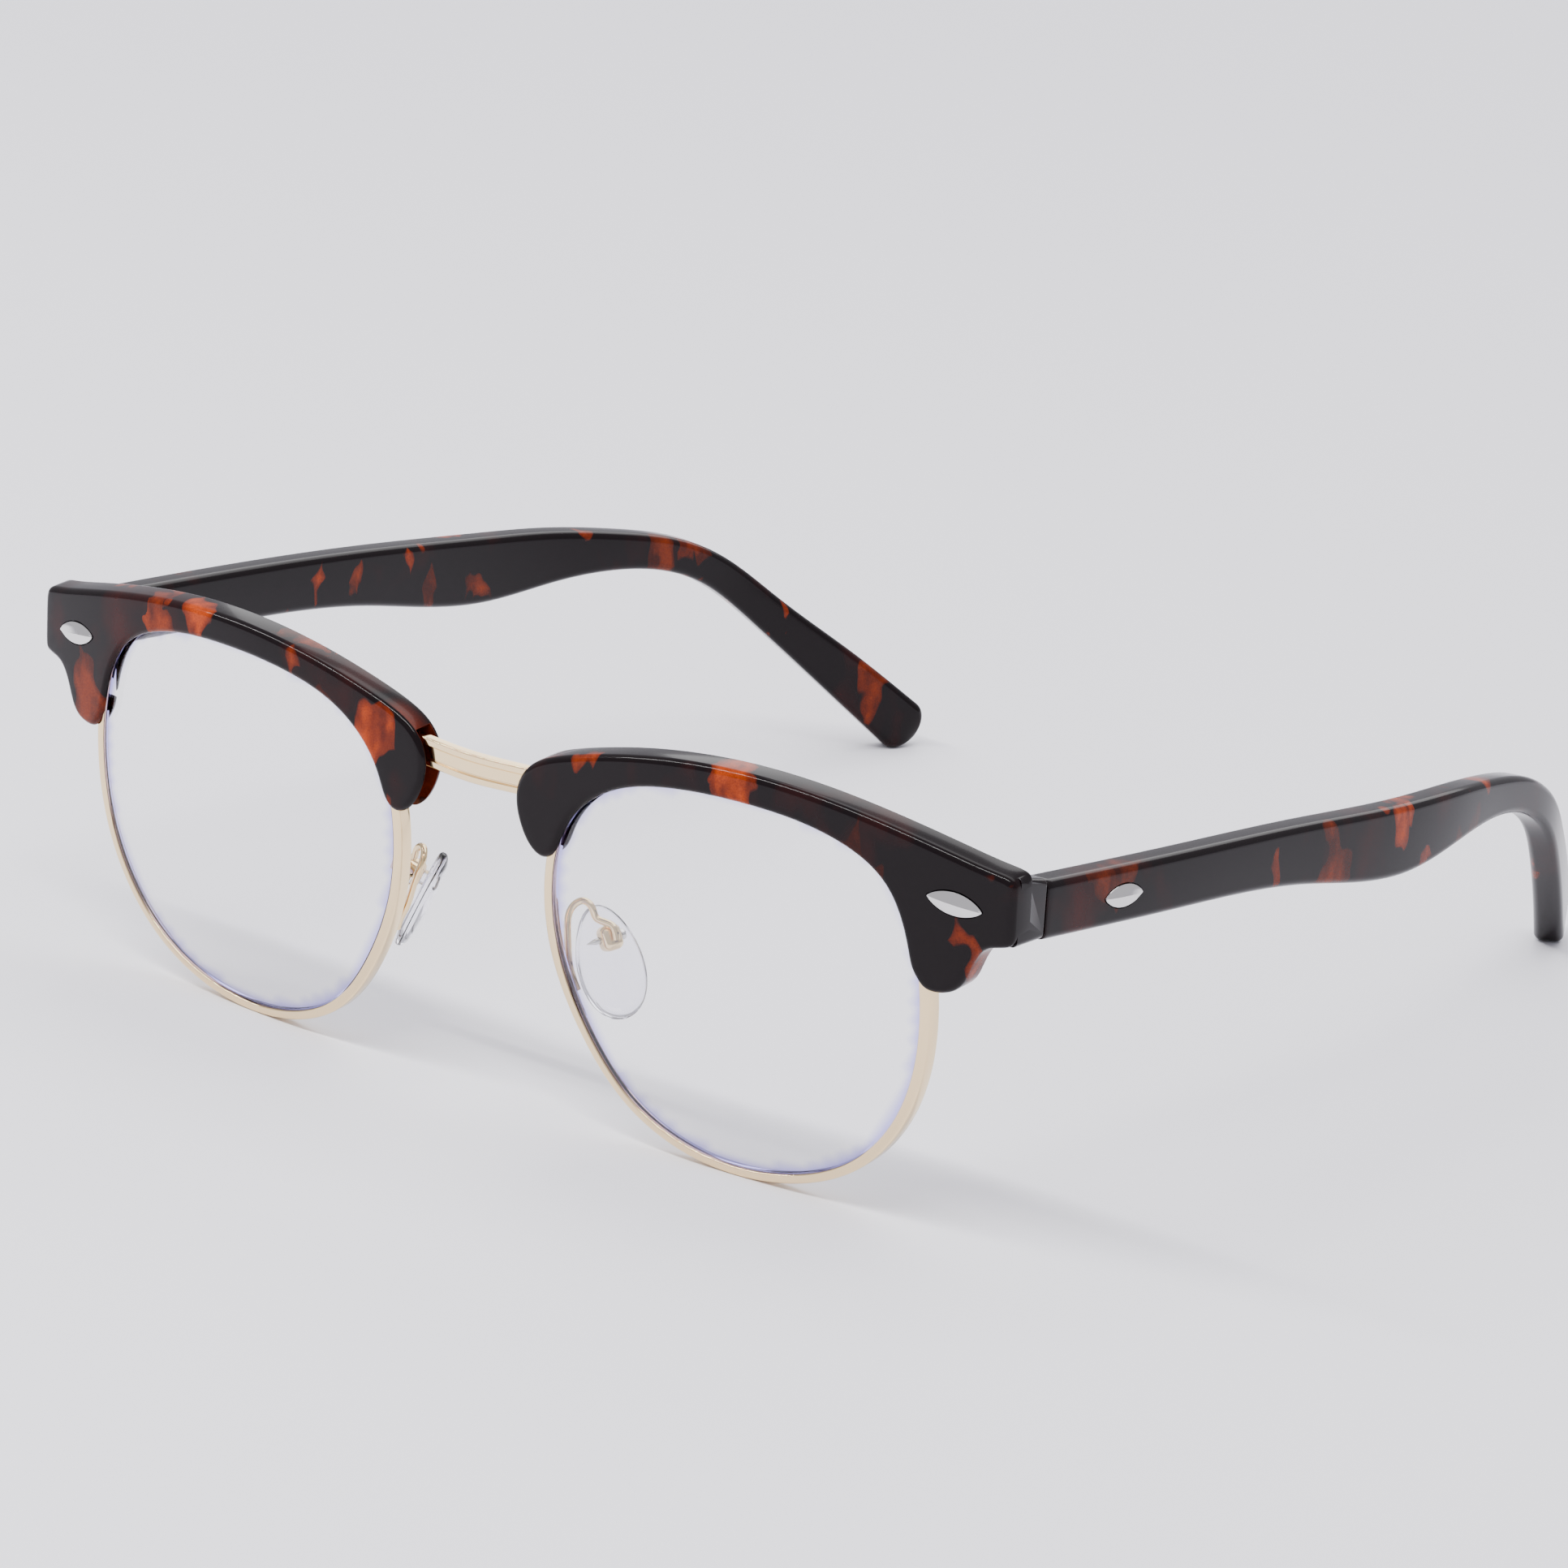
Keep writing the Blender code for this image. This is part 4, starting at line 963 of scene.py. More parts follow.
@dataclass(frozen=True)
class Eyewire:
    """The grooved rim round each lens, the lens in it and the barrel that shuts it.

    Attributes:
        form: the front's form.
        width: width of the wire seen from the front.
        depth: depth of the wire.
        groove: depth of the lens groove.
        groove_width: width of the lens groove.
        split: gap that the closing screw pulls shut.
        split_v: height of the gap.
        lens_thick: thickness of the lens.
        bevel: how far the lens edge reaches into the groove.
        lock_width: reach of the barrel beyond the rim.
        lock_half: height of each of its two blocks.
        lock_levels: front and back of the barrel.
        shape: the rim's outline, in half sizes from the eye's middle.
    """

    form: FrontForm
    width: float = 1.2
    depth: float = 2.0
    groove: float = 0.45
    groove_width: float = 1.1
    split: float = 0.3
    split_v: float = 0.755 * 47.8
    lens_thick: float = 1.4
    bevel: float = 0.4
    lock_width: float = 2.1
    lock_half: float = 2.0
    lock_levels: tuple[float, float] = (0.3, 2.8)
    shape: tuple[tuple[float, float], ...] = (
        (1.0, 0.05), (0.97, 0.42), (0.83, 0.76), (0.53, 0.94), (0.13, 1.0), (-0.30, 0.98),
        (-0.66, 0.87), (-0.90, 0.64), (-0.996, 0.30), (-0.965, -0.10), (-0.82, -0.47),
        (-0.56, -0.81), (-0.18, -0.985), (0.24, -0.98), (0.62, -0.81), (0.89, -0.46))

    def outline(self, count: int) -> np.ndarray:
        """The rim's outside, counter-clockwise."""
        return smooth_curve(self.form.eye(self.shape), count, closed=True)

    def edge_u(self, v: float, outer: bool) -> float:
        """Across place of the outline at height v, on its outer or nose side."""
        loop = self.outline(800)
        half = loop[(loop[:, 0] > self.form.middle[0]) == outer]
        return float(half[np.argmin(np.abs(half[:, 1] - v)), 0])

    def profile(self) -> list[tuple[float, float]]:
        """Cross-section of the wire as (inset, w), with its front edges rolled over."""
        roll, worn = 0.42, 0.2
        front = [(roll * (1 - math.cos(t)), roll * (1 - math.sin(t)))
                 for t in np.linspace(0.0, math.pi / 2, 7)]
        inner = [(self.width - worn * (1 - math.sin(t)), worn * (1 - math.cos(t)))
                 for t in np.linspace(0.0, math.pi / 2, 4)]
        lips = [(self.width, (self.depth - self.groove_width) / 2),
                (self.width - self.groove, self.depth / 2),
                (self.width, (self.depth + self.groove_width) / 2)]
        back = [(self.width, self.depth - 0.08), (self.width - 0.08, self.depth), (worn, self.depth),
                (worn * 0.3, self.depth - worn * 0.3), (0.0, self.depth - worn)]
        return front + inner + lips + back

    def build_rim(self, side: Side) -> bpy.types.Object:
        """Sweep the wire round from one side of the gap to the other."""
        count = 1440
        loop = self.outline(count)
        outer = np.where(loop[:, 0] > self.form.middle[0], np.abs(loop[:, 1] - self.split_v), np.inf)
        loop = np.roll(loop, -int(np.argmin(outer)), axis=0)
        start = self.split / 2 / float(np.linalg.norm(loop[1] - loop[0]))
        stations = np.linspace(start, count - start, 721)
        profile = self.profile()
        columns = []
        for tuck, w in profile:
            line = inset(loop, tuck)
            line = np.vstack([line, line[:1]])
            at = np.stack([np.interp(stations, np.arange(count + 1), line[:, k]) for k in (0, 1)], axis=1)
            columns.append(self.form.place(at, w, side.value))
        rings = list(np.stack(columns, axis=1))
        name = f"rim_{side.word}"
        rim = Shell().loft(rings).build(name, 40.0)
        GOLD.dress(rim)
        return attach(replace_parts(rim, name), "front")

    def build_lens(self, side: Side) -> bpy.types.Object:
        """Make the curved lens with its bevelled edge."""
        loop = self.outline(360)
        edge = self.width + 0.15
        front = (self.depth - self.lens_thick) / 2
        back = front + self.lens_thick
        layers = [(edge + 0.06, front), (edge, front + 0.05), (edge - self.bevel, self.depth / 2),
                  (edge, back - 0.05), (edge + 0.06, back)]
        name = f"lens_{side.word}"
        lens = self.form.slab(name, loop, layers, side.value, 1.3, 30.0)
        places = np.array([v.co for v in lens.data.vertices]) / MM
        u, v, _ = self.form.unplace(places)
        # painted reflection: how near each point lies to the lens edge, for the violet tint that stands in
        # for the coating's reflection
        reach = np.sqrt(((np.stack([u, v], 1)[:, None, :] - inset(loop, edge)[None]) ** 2).sum(2)).min(1)
        painted_edge_reflection = lens.data.attributes.new("lens_edge", "FLOAT", "POINT")
        painted_edge_reflection.data.foreach_set("value", (1 - ease(0.0, 1.0, reach)).astype(np.float32))
        LENS.dress(lens)
        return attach(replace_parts(lens, name), "front")

    def build_lock(self, side: Side) -> list[bpy.types.Object]:
        """Make the two blocks of the closing barrel and the screw through them."""
        form = self.form
        outer = form.eye_gap / 2 + form.eye_width + self.lock_width
        axis_u, axis_w = outer - 1.2, sum(self.lock_levels) / 2
        front, back = self.lock_levels
        made = []
        lows = {"lower": self.split_v - self.split / 2 - self.lock_half,
                "upper": self.split_v + self.split / 2}
        for word, low in lows.items():
            high = low + self.lock_half
            loop = np.array([(self.edge_u(low, True) + 0.25, low), (outer, low), (outer, high),
                             (self.edge_u(high, True) + 0.25, high)])
            loop = soften(even_loop(loop, 0.06), 0.06, 0.1)
            soft = 0.12
            layers = [(t, front + d) for t, d in quarter_round(soft, 3)]
            layers += [(t, back - d) for t, d in reversed(quarter_round(soft, 3))]
            name = f"rim_lock_{word}_{side.word}"
            block = form.slab(name, loop, layers, side.value)
            bottom, top = (form.spot(axis_u, self.split_v + d, axis_w, side.value) for d in (-4.0, 4.0))
            bore = turned(f"{name} bore", bottom, top - bottom, [(0.0, 0.6), (8.0, 0.6)], 32)
            merge(block, [bore], Blend.CUT)
            GOLD.dress(block)
            made.append(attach(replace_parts(block, name), "front"))
        low, high = (form.spot(axis_u, self.split_v + d, axis_w, side.value)
                     for d in (-self.lock_half - 2 * CLEAR, self.lock_half))
        made.append(Screw().build(f"rim_screw_{side.word}", high, low))
        return made

    def build(self, side: Side) -> list[bpy.types.Object]:
        """Make one eye's rim, lens and barrel."""
        return [self.build_rim(side), self.build_lens(side), *self.build_lock(side)]


@dataclass(frozen=True)
class Bridge:
    """The bowed gold bar between the rims, ridged along its top and bottom edges.

    Attributes:
        eyewire: the rims that it joins.
        bottom: height of its lower edge.
        height: its height.
        thick: its thickness.
        set_back: its face behind the rims' face.
        bow: how far its middle stands forward.
        ridge: how far the ridges stand ahead of the face.
        ridge_width: width of a ridge.
        screw_u: across place of the screws through its ends.
    """

    eyewire: Eyewire
    bottom: float = 0.822 * 47.8
    height: float = 3.4
    thick: float = 1.2
    set_back: float = 0.35
    bow: float = 0.9
    ridge: float = 0.25
    ridge_width: float = 0.8
    screw_u: float = 9.9

    @property
    def middle_v(self) -> float:
        return self.bottom + self.height / 2

    def profile(self) -> list[tuple[float, float]]:
        """Cross-section as (v, w) from the middle, counter-clockwise from the lower front."""
        half, worn = self.height / 2, 0.2
        roll = [(-half + worn * (1 - math.cos(t)), worn * (1 - math.sin(t)))
                for t in np.linspace(0.0, math.pi / 2, 5)]
        step = [(-half + self.ridge_width - 0.04, 0.0), (-half + self.ridge_width, 0.03),
                (-half + self.ridge_width + 0.06, self.ridge + 0.05),
                (-half + self.ridge_width + 0.16, self.ridge + 0.05),
                (-half + self.ridge_width + 0.22, self.ridge)]
        lower = roll + step
        face = lower + [(-v, w) for v, w in reversed(lower)]
        return face + [(half, self.thick - 0.15), (half - 0.15, self.thick), (-half + 0.15, self.thick),
                       (-half, self.thick - 0.15)]

    def build(self) -> bpy.types.Object:
        """Make the bridge with the two screw holes in its ends."""
        form = self.eyewire.form
        profile = self.profile()
        reaches = np.array([self.eyewire.edge_u(self.middle_v + v, False) - 0.35 for v, _ in profile])
        vs = np.array([self.middle_v + v for v, _ in profile])
        ws = np.array([w for _, w in profile])
        rings = []
        for share in np.linspace(-1.0, 1.0, 141):
            bow = self.bow * (math.cos(math.pi * min(abs(share) / 0.75, 1.0)) + 1) / 2
            us = share * reaches
            facet = 0.45 * ease(0.84, 0.97, abs(share)) * (ws < self.thick / 2)
            rings.append(form.place(np.stack([us, vs], axis=1), self.set_back + ws + facet - bow))
        bridge = Shell().loft(rings).build("bridge", 30.0)
        holes = [self.hole(f"bridge hole {side.word}", side, 0.0, 4.0) for side in Side]
        merge(bridge, holes, Blend.CUT, 30.0)
        GOLD.dress(bridge)
        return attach(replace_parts(bridge, "bridge"), "front")

    def spot(self, side: Side, w: float) -> np.ndarray:
        """A point on the line of the screw through the bridge's end."""
        return self.eyewire.form.spot(self.screw_u, self.middle_v, w, side.value)

    def hole(self, name: str, side: Side, start: float, end: float) -> bpy.types.Object:
        """Make the cutter of the screw's hole."""
        near, far = self.spot(side, start), self.spot(side, end)
        return turned(name, near, far - near, [(0.0, 0.55), (end - start, 0.55)], 32)


# ------------------------------------------------------------------ brows


@dataclass(frozen=True)
class Brow:
    """An acetate channel over the top of a rim, with the end piece that carries the hinge.

    Attributes:
        eyewire: the rim that it covers.
        bridge: the bridge whose end it takes.
        proud: front flange ahead of the rim's face.
        depth: front face to back face.
        front_round: rounding of the front edges.
        back_round: rounding of the back edges.
        lip: how far it reaches in over the rim.
        nose_end: height where the inner edge stops at the nose, in half heights of the eye.
        neck_end: height where the inner edge stops at the side, in half heights of the eye.
        lug_thick: thickness of the end piece.
        lug_back: back face of the end piece.
        lug_top_v: height of the end piece's top.
        lug_height: height of the end piece.
        rivet_in: from the front's side to the rivet's middle.
        rivet_drop: from the end piece's top to the rivet's middle.
        rivet_tilt: slope of the rivet, whose outer end sits lower.
        nose: the brow's outline from the nose to the end piece, in half sizes of the eye.
        neck: the brow's outline from the end piece down to the rim, in half sizes of the eye.
    """

    eyewire: Eyewire
    bridge: Bridge
    proud: float = 0.8
    depth: float = 3.6
    front_round: float = 0.8
    back_round: float = 0.4
    lip: float = 1.7
    nose_end: float = 0.45
    neck_end: float = 0.32
    lug_thick: float = 4.7
    lug_back: float = 6.121
    lug_top_v: float = 0.918 * 47.8
    lug_height: float = 7.9
    rivet_in: float = 6.8
    rivet_drop: float = 3.7
    rivet_tilt: float = 0.14
    nose: tuple[tuple[float, float], ...] = (
        (-0.93, 0.41), (-0.975, 0.375), (-1.045, 0.40), (-1.11, 0.49), (-1.15, 0.62), (-1.14, 0.73),
        (-1.08, 0.82), (-0.96, 0.89), (-0.78, 0.95), (-0.55, 1.01), (-0.26, 1.06), (0.07, 1.08),
        (0.40, 1.06), (0.70, 1.01), (0.99, 0.94), (1.22, 0.875))
    neck: tuple[tuple[float, float], ...] = (
        (1.25, 0.485), (1.21, 0.42), (1.18, 0.34), (1.15, 0.27), (1.10, 0.23), (1.04, 0.22),
        (0.985, 0.225), (0.955, 0.27))

    @property
    def back(self) -> float:
        return self.depth - self.proud

    def outline(self) -> np.ndarray:
        """The brow from the front, counter-clockwise and evenly spaced."""
        form = self.eyewire.form
        nose = smooth_curve(form.eye(self.nose), 240)[::-1]
        neck = smooth_curve(form.eye(self.neck), 90)[::-1]
        rim = inset(self.eyewire.outline(900), self.lip)
        ends = np.where(rim[:, 0] > form.middle[0], self.neck_end, self.nose_end)
        low_v = form.middle[1] * (1 + ends)
        first = int(np.argmin(rim[:, 1]))
        rim, low_v = np.roll(rim, -first, axis=0), np.roll(low_v, -first)
        inner = rim[rim[:, 1] > low_v][::-1]
        lug_low = self.lug_top_v - self.lug_height
        side = np.array([(form.side - 1.4, lug_low - 0.15), (form.side, lug_low),
                         (form.side, self.lug_top_v)])
        spacing = 0.22
        loop = even_loop(np.vstack([inner, neck, side, nose]), spacing)
        softening = 0.85        # leaves every corner wider than the front's rounding
        return soften(loop, spacing, softening)

    def lug(self, name: str, side: Side) -> bpy.types.Object:
        """Make the block that turns back to the hinge, with rounded edges."""
        form = self.eyewire.form
        low_z = self.lug_top_v - self.lug_height + 0.2
        high_z = self.lug_top_v - 0.7
        outer, inner = form.side - 0.02, form.side - self.lug_thick
        stations = [(1.2, 0.0, 1.1)] + [(self.lug_back - d, t, 0.0) for t, d in
                                        reversed(quarter_round(0.25, 4))]
        rings = []
        for y, tuck, lift in stations:
            ring = []
            radius = 0.75 - tuck
            corners = ((outer - tuck, high_z + lift - tuck), (inner + tuck, high_z + lift - tuck),
                       (inner + tuck, low_z + tuck), (outer - tuck, low_z + tuck))
            for quarter, (x, z) in enumerate(corners):
                right, top = (1, -1, -1, 1)[quarter], (1, 1, -1, -1)[quarter]
                for i in range(8):
                    angle = math.pi / 2 * (quarter + i / 7)
                    ring.append((side.value * (x - right * radius + radius * math.cos(angle)),
                                 y + form.shift, z - top * radius + radius * math.sin(angle)))
            rings.append(np.array(ring))
        return Shell().loft(rings).build(name)

    def rivet_frame(self, side: Side) -> tuple[np.ndarray, np.ndarray, np.ndarray]:
        """Centre, line and outward way of the rivet on the end piece."""
        form = self.eyewire.form
        u, v = form.side - self.rivet_in, self.lug_top_v - self.rivet_drop
        centre = form.spot(u, v, -self.proud, side.value)
        beyond = form.spot(u + 1, v, -self.proud, side.value) - centre
        above = form.spot(u, v + 1, -self.proud, side.value) - centre
        out = np.cross(beyond * side.value, above)
        return centre, beyond * side.value - above * self.rivet_tilt * side.value, out

    def build(self, side: Side) -> list[bpy.types.Object]:
        """Make the brow, its rivet and its screw."""
        form, wire = self.eyewire.form, self.eyewire
        name = f"brow_{side.word}"
        layers = [(t, -self.proud + d) for t, d in quarter_round(self.front_round, 9)]
        layers += [(t, self.back - d) for t, d in reversed(quarter_round(self.back_round, 5))]
        brow = form.slab(name, self.outline(), layers, side.value, 1.0)
        merge(brow, [self.lug(f"{name} lug", side)], Blend.JOIN)

        seat = (-CLEAR, wire.depth + CLEAR)
        inward = 8.0
        channel = [(inward, seat[0]), (-CLEAR, seat[0]), (-CLEAR, seat[1]), (inward, seat[1])]
        slot = form.slab(f"{name} slot", wire.outline(480), channel, side.value)
        top = self.bridge.bottom + self.bridge.height + 0.7
        low = self.bridge.bottom - 9.0
        reach = wire.edge_u(top, False)
        mouth_corners = np.array([(2.0, low), (reach - 1.2, low), (reach + 1.2, top), (2.0, top)])
        shy = 0.02              # keeps the mouth's walls off the slot's
        mouth = form.slab(f"{name} mouth", even_loop(mouth_corners, 0.5),
                          [(0.0, seat[0] + shy), (0.0, seat[1] - shy)], side.value, 1.5)
        inner = wire.edge_u(wire.split_v, True) - wire.width
        outer = form.eye_gap / 2 + form.eye_width + wire.lock_width + 0.3
        low, high = wire.split_v - wire.lock_half - 1.3, wire.split_v + wire.lock_half + 0.6
        pocket_loop = np.array([(inner, low), (outer, low), (outer, high), (inner, high)])
        pocket = form.slab(f"{name} pocket", pocket_loop, [(0.0, 0.0), (0.0, 2 * self.back)], side.value)
        hole = self.bridge.hole(f"{name} hole", side, self.back / 2, 2 * self.back)
        rivet = Rivet()
        seat_cut = rivet.pocket(f"{name} rivet seat", *self.rivet_frame(side))
        merge(brow, [slot, mouth, pocket, hole, seat_cut], Blend.CUT)

        # painted light: marks the slot walls and the edges beside them near the nose, fading out from 11 to
        # 14 mm across, to take the bright flake colour
        places = np.array([v.co for v in brow.data.vertices]) / MM
        u, _, w = form.unplace(places)
        inside = (w > seat[0] - 0.02) & (w < seat[1] + 0.02)
        glow = inside * (1 - ease(11.0, 14.0, u)) * 0.9
        wall = brow.data.attributes.new("slot_painted_light", "FLOAT", "POINT")
        wall.data.foreach_set("value", glow.astype(np.float32))
        ACETATE.dress(brow)
        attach(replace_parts(brow, name), "front")
        head = rivet.head(f"front_rivet_{side.word}", *self.rivet_frame(side), "front")
        screw = Screw().build(f"brow_screw_{side.word}", self.bridge.spot(side, wire.depth * 0.3),
                              self.bridge.spot(side, self.back + CLEAR))
        return [brow, head, screw]


# ------------------------------------------------------------------ temples and hinges


@dataclass(frozen=True)
class Temple:
    """An acetate temple that bends down behind the ear.

    Attributes:
        brow: the brow whose end piece it meets.
        thick: its thickness.
        round: rounding of its long edges.
        gap: between the end piece and the temple.
        reach: from the gap to the last station.
        end_z: middle height at the tip.
        rivet_y: the rivet behind the gap.
        stations: inset from the front's side, share of the reach, share of the drop left, depth.
    """

    brow: Brow
    thick: float = 3.8
    round: float = 1.0
    gap: float = 0.2
    reach: float = 139.4
    end_z: float = 3.25
    rivet_y: float = 13.6
    stations: tuple[tuple[float, float, float, float], ...] = (
        (0.0, 0.0, 1.0, 6.9), (-0.8, 0.17, 0.956, 6.8), (-0.8, 0.36, 0.89, 7.4),
        (-0.2, 0.52, 0.81, 8.7), (1.2, 0.61, 0.804, 6.8), (3.3, 0.69, 0.782, 5.0),
        (5.2, 0.762, 0.721, 4.5), (7.0, 0.82, 0.608, 4.5), (10.0, 0.875, 0.437, 4.9),
        (14.4, 0.94, 0.217, 6.2), (18.8, 1.0, 0.0, 7.0))

    def line(self, count: int) -> np.ndarray:
        """Middle line of the outer face, with the depth there."""
        form = self.brow.eyewire.form
        start = self.brow.lug_back + self.gap
        start_z = self.brow.lug_top_v - 4.55
        drop = start_z - self.end_z
        points = [(form.side - tuck, start + share * self.reach, self.end_z + left * drop, deep)
                  for tuck, share, left, deep in self.stations]
        line = smooth_curve(points, count)
        line[:, 1] += form.shift
        return line

    @staticmethod
    def run(line: np.ndarray, i: int) -> np.ndarray:
        """Direction of the line at a station; the front end is cut square."""
        if i == 0:
            return np.array([0.0, 1.0, 0.0])
        return unit(line[min(i + 1, len(line) - 1)][:3] - line[i - 1][:3])

    def section(self, line: np.ndarray, i: int, shrink: float = 1.0, tuck: float = 0.0) -> np.ndarray:
        """Rounded rectangle across the temple.

        Args:
            line: the temple's line.
            i: the station.
            shrink: share of the full depth, below 1 toward the tip.
            tuck: how far in from the full section.

        Returns:
            The ring of points.
        """
        along = self.run(line, i)
        out = unit(np.cross(along, (0.0, 0.0, 1.0)))
        up = np.cross(out, along)
        deep = line[i][3] / 2 * shrink - tuck
        thin = self.thick / 2 * (0.45 + 0.55 * shrink) - tuck
        radius = min(self.round, thin, deep)
        middle = line[i][:3] - out * self.thick / 2
        ring = []
        for quarter, (right, top) in enumerate(((1, 1), (-1, 1), (-1, -1), (1, -1))):
            for step in range(10):
                angle = math.pi / 2 * (quarter + step / 9)
                ring.append(middle + out * (right * (thin - radius) + radius * math.cos(angle))
                            + up * (top * (deep - radius) + radius * math.sin(angle)))
        return np.array(ring)

    def rivet_frame(self, side: Side) -> tuple[np.ndarray, np.ndarray, np.ndarray]:
        """Centre, line and outward way of the rivet on the temple."""
        line = self.line(400)
        start = self.brow.lug_back + self.gap + self.brow.eyewire.form.shift
        i = int(np.argmin(np.abs(line[:, 1] - (start + self.rivet_y))))
        along = (line[i + 1] - line[i])[:3] * side.flip * side.value
        return line[i][:3] * side.flip, along, np.cross(along, (0.0, 0.0, 1.0))

    def build(self, side: Side) -> list[bpy.types.Object]:
        """Make the temple and its rivet."""
        line = self.line(360)
        last = len(line) - 1
        name, body = f"temple_{side.word}", f"temple_{side.word}"
        soft = 0.2
        rings = []
        for tuck, deep in quarter_round(soft, 4):
            rings.append(self.section(line, 0, 1.0, tuck) + np.array([0.0, deep, 0.0]))
        rings += [self.section(line, i) for i in range(2, last + 1)]
        tip = self.run(line, last) * line[-1][3] * 0.4
        for turn in np.linspace(5.0, 82.0, 14):
            ring = self.section(line, last, math.cos(math.radians(turn)))
            rings.append(ring + tip * math.sin(math.radians(turn)))
        rings = [ring * side.flip for ring in rings]
        temple = Shell().loft(rings).build(name)
        rivet = Rivet()
        seat = rivet.pocket(f"{name} rivet seat", *self.rivet_frame(side))
        merge(temple, [seat], Blend.CUT)
        ACETATE.dress(temple)
        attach(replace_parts(temple, name), body)
        return [temple, rivet.head(f"temple_rivet_{side.word}", *self.rivet_frame(side), body)]


@dataclass(frozen=True)
class Hinge:
    """A five-knuckle steel hinge: three knuckles on the front, two on the temple.

    Attributes:
        temple: the temple that it carries.
        repeat: the Geometry Nodes that repeat the knuckles.
        knuckles: how many knuckles in all.
        knuckle_gap: between two knuckles.
        barrel: outer radius of a knuckle.
        leaf: thickness of a leaf.
        front_leaf: width of the leaf on the front.
        temple_leaf: length of the leaf on the temple.
        pin: radius of the hole for the screw.
        above_low: lowest knuckle's foot above the end piece's foot.
        below_high: highest knuckle's top below the end piece's top.
    """

    temple: Temple
    repeat: RepeatAlong
    knuckles: int = 5
    knuckle_gap: float = 0.15
    barrel: float = 1.1
    leaf: float = 0.7
    front_leaf: float = 3.3
    temple_leaf: float = 7.0
    pin: float = 0.55
    above_low: float = 1.2
    below_high: float = 2.5

    @property
    def low(self) -> float:
        return self.temple.brow.lug_top_v - self.temple.brow.lug_height + self.above_low

    @property
    def high(self) -> float:
        return self.temple.brow.lug_top_v - self.below_high

    @property
    def axis(self) -> tuple[float, float]:
        """X and Y of the hinge's axis on the wearer's left."""
        brow = self.temple.brow
        form = brow.eyewire.form
        thick = max(brow.lug_thick, self.temple.thick + self.leaf + CLEAR)
        return form.side - thick - CLEAR - self.barrel, brow.lug_back + HINGE_BEHIND + form.shift

    def leaf_piece(self, name: str, body: str, side: Side, plate: tuple, arm: tuple, first: int,
                   count: int) -> bpy.types.Object:
        """Make one leaf with its row of knuckles.

        Args:
            name: the object's name.
            body: the body that it moves with.
            side: which hinge.
            plate: low and high corner of the plate.
            arm: x and y spans of the arm that joins the knuckles to the plate.
            first: index of its lowest knuckle.
            count: number of its knuckles.

        Returns:
            The new object.
        """
        tall = (self.high - self.low - (self.knuckles - 1) * self.knuckle_gap) / self.knuckles
        start = self.low + first * (tall + self.knuckle_gap)
        x, y = self.axis
        soft = 0.1
        profile = [(0.0, self.barrel - soft), (soft * 0.4, self.barrel - soft * 0.3), (soft, self.barrel),
                   (tall - soft, self.barrel), (tall - soft * 0.4, self.barrel - soft * 0.3),
                   (tall, self.barrel - soft)]
        row = turned(f"{name} knuckle", (side.value * x, y, start), (0, 0, 1), profile, 48)
        (x0, x1), (y0, y1) = arm
        step = 2 * (tall + self.knuckle_gap)
        link = self.block(f"{name} arm", side, (x0, y0, start), (x1, y1, start + tall), 0.05)
        merge(row, [link], Blend.JOIN)
        self.repeat.run(row, count, (0.0, 0.0, step), STEEL.material())
        leaf = self.block(name, side, *plate, 0.12)
        merge(leaf, [row], Blend.JOIN)
        bore = turned(f"{name} bore", (side.value * x, y, self.low - 1), (0, 0, 1),
                      [(0.0, self.pin), (self.high - self.low + 2, self.pin)], 32)
        merge(leaf, [bore], Blend.CUT)
        STEEL.dress(leaf)
        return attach(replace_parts(leaf, name), body)

    @staticmethod
    def block(name: str, side: Side, low: Sequence[float], high: Sequence[float], radius: float
              ) -> bpy.types.Object:
        """Make a block with worn edges between two corners of the wearer's left."""
        low, high = np.asarray(low, float), np.asarray(high, float)
        return rounded_block(name, (low + high) / 2 * side.flip, np.eye(3), (high - low) / 2, radius, 3)

    def build(self, side: Side) -> list[bpy.types.Object]:
        """Make both leaves and the screw."""
        brow = self.temple.brow
        form = brow.eyewire.form
        x, y = self.axis
        leaf_end = form.side - brow.lug_thick - CLEAR
        leaf_y = form.spot(leaf_end, self.low, brow.back)[1] + CLEAR
        front = self.leaf_piece(f"hinge_front_{side.word}", "front", side,
                                ((leaf_end - self.front_leaf, leaf_y, self.low),
                                 (leaf_end, leaf_y + self.leaf, self.high)),
                                ((x - self.leaf, x + self.leaf), (leaf_y + self.leaf / 2, y)), 0, 3)
        inner = form.side - self.temple.thick - CLEAR
        plate_y = y + 2 * CLEAR
        back = self.leaf_piece(f"hinge_temple_{side.word}", f"temple_{side.word}", side,
                               ((inner - self.leaf, plate_y, self.low),
                                (inner, plate_y + self.temple_leaf, self.high - 0.5)),
                               ((x, inner - CLEAR), (y + 0.1, y + 1.0)), 1, 2)
        screw = Screw().build(f"hinge_screw_{side.word}", np.array([side.value * x, y, self.low - CLEAR]),
                              np.array([side.value * x, y, self.high + CLEAR]))
        return [front, back, screw]


# ------------------------------------------------------------------ nose pads


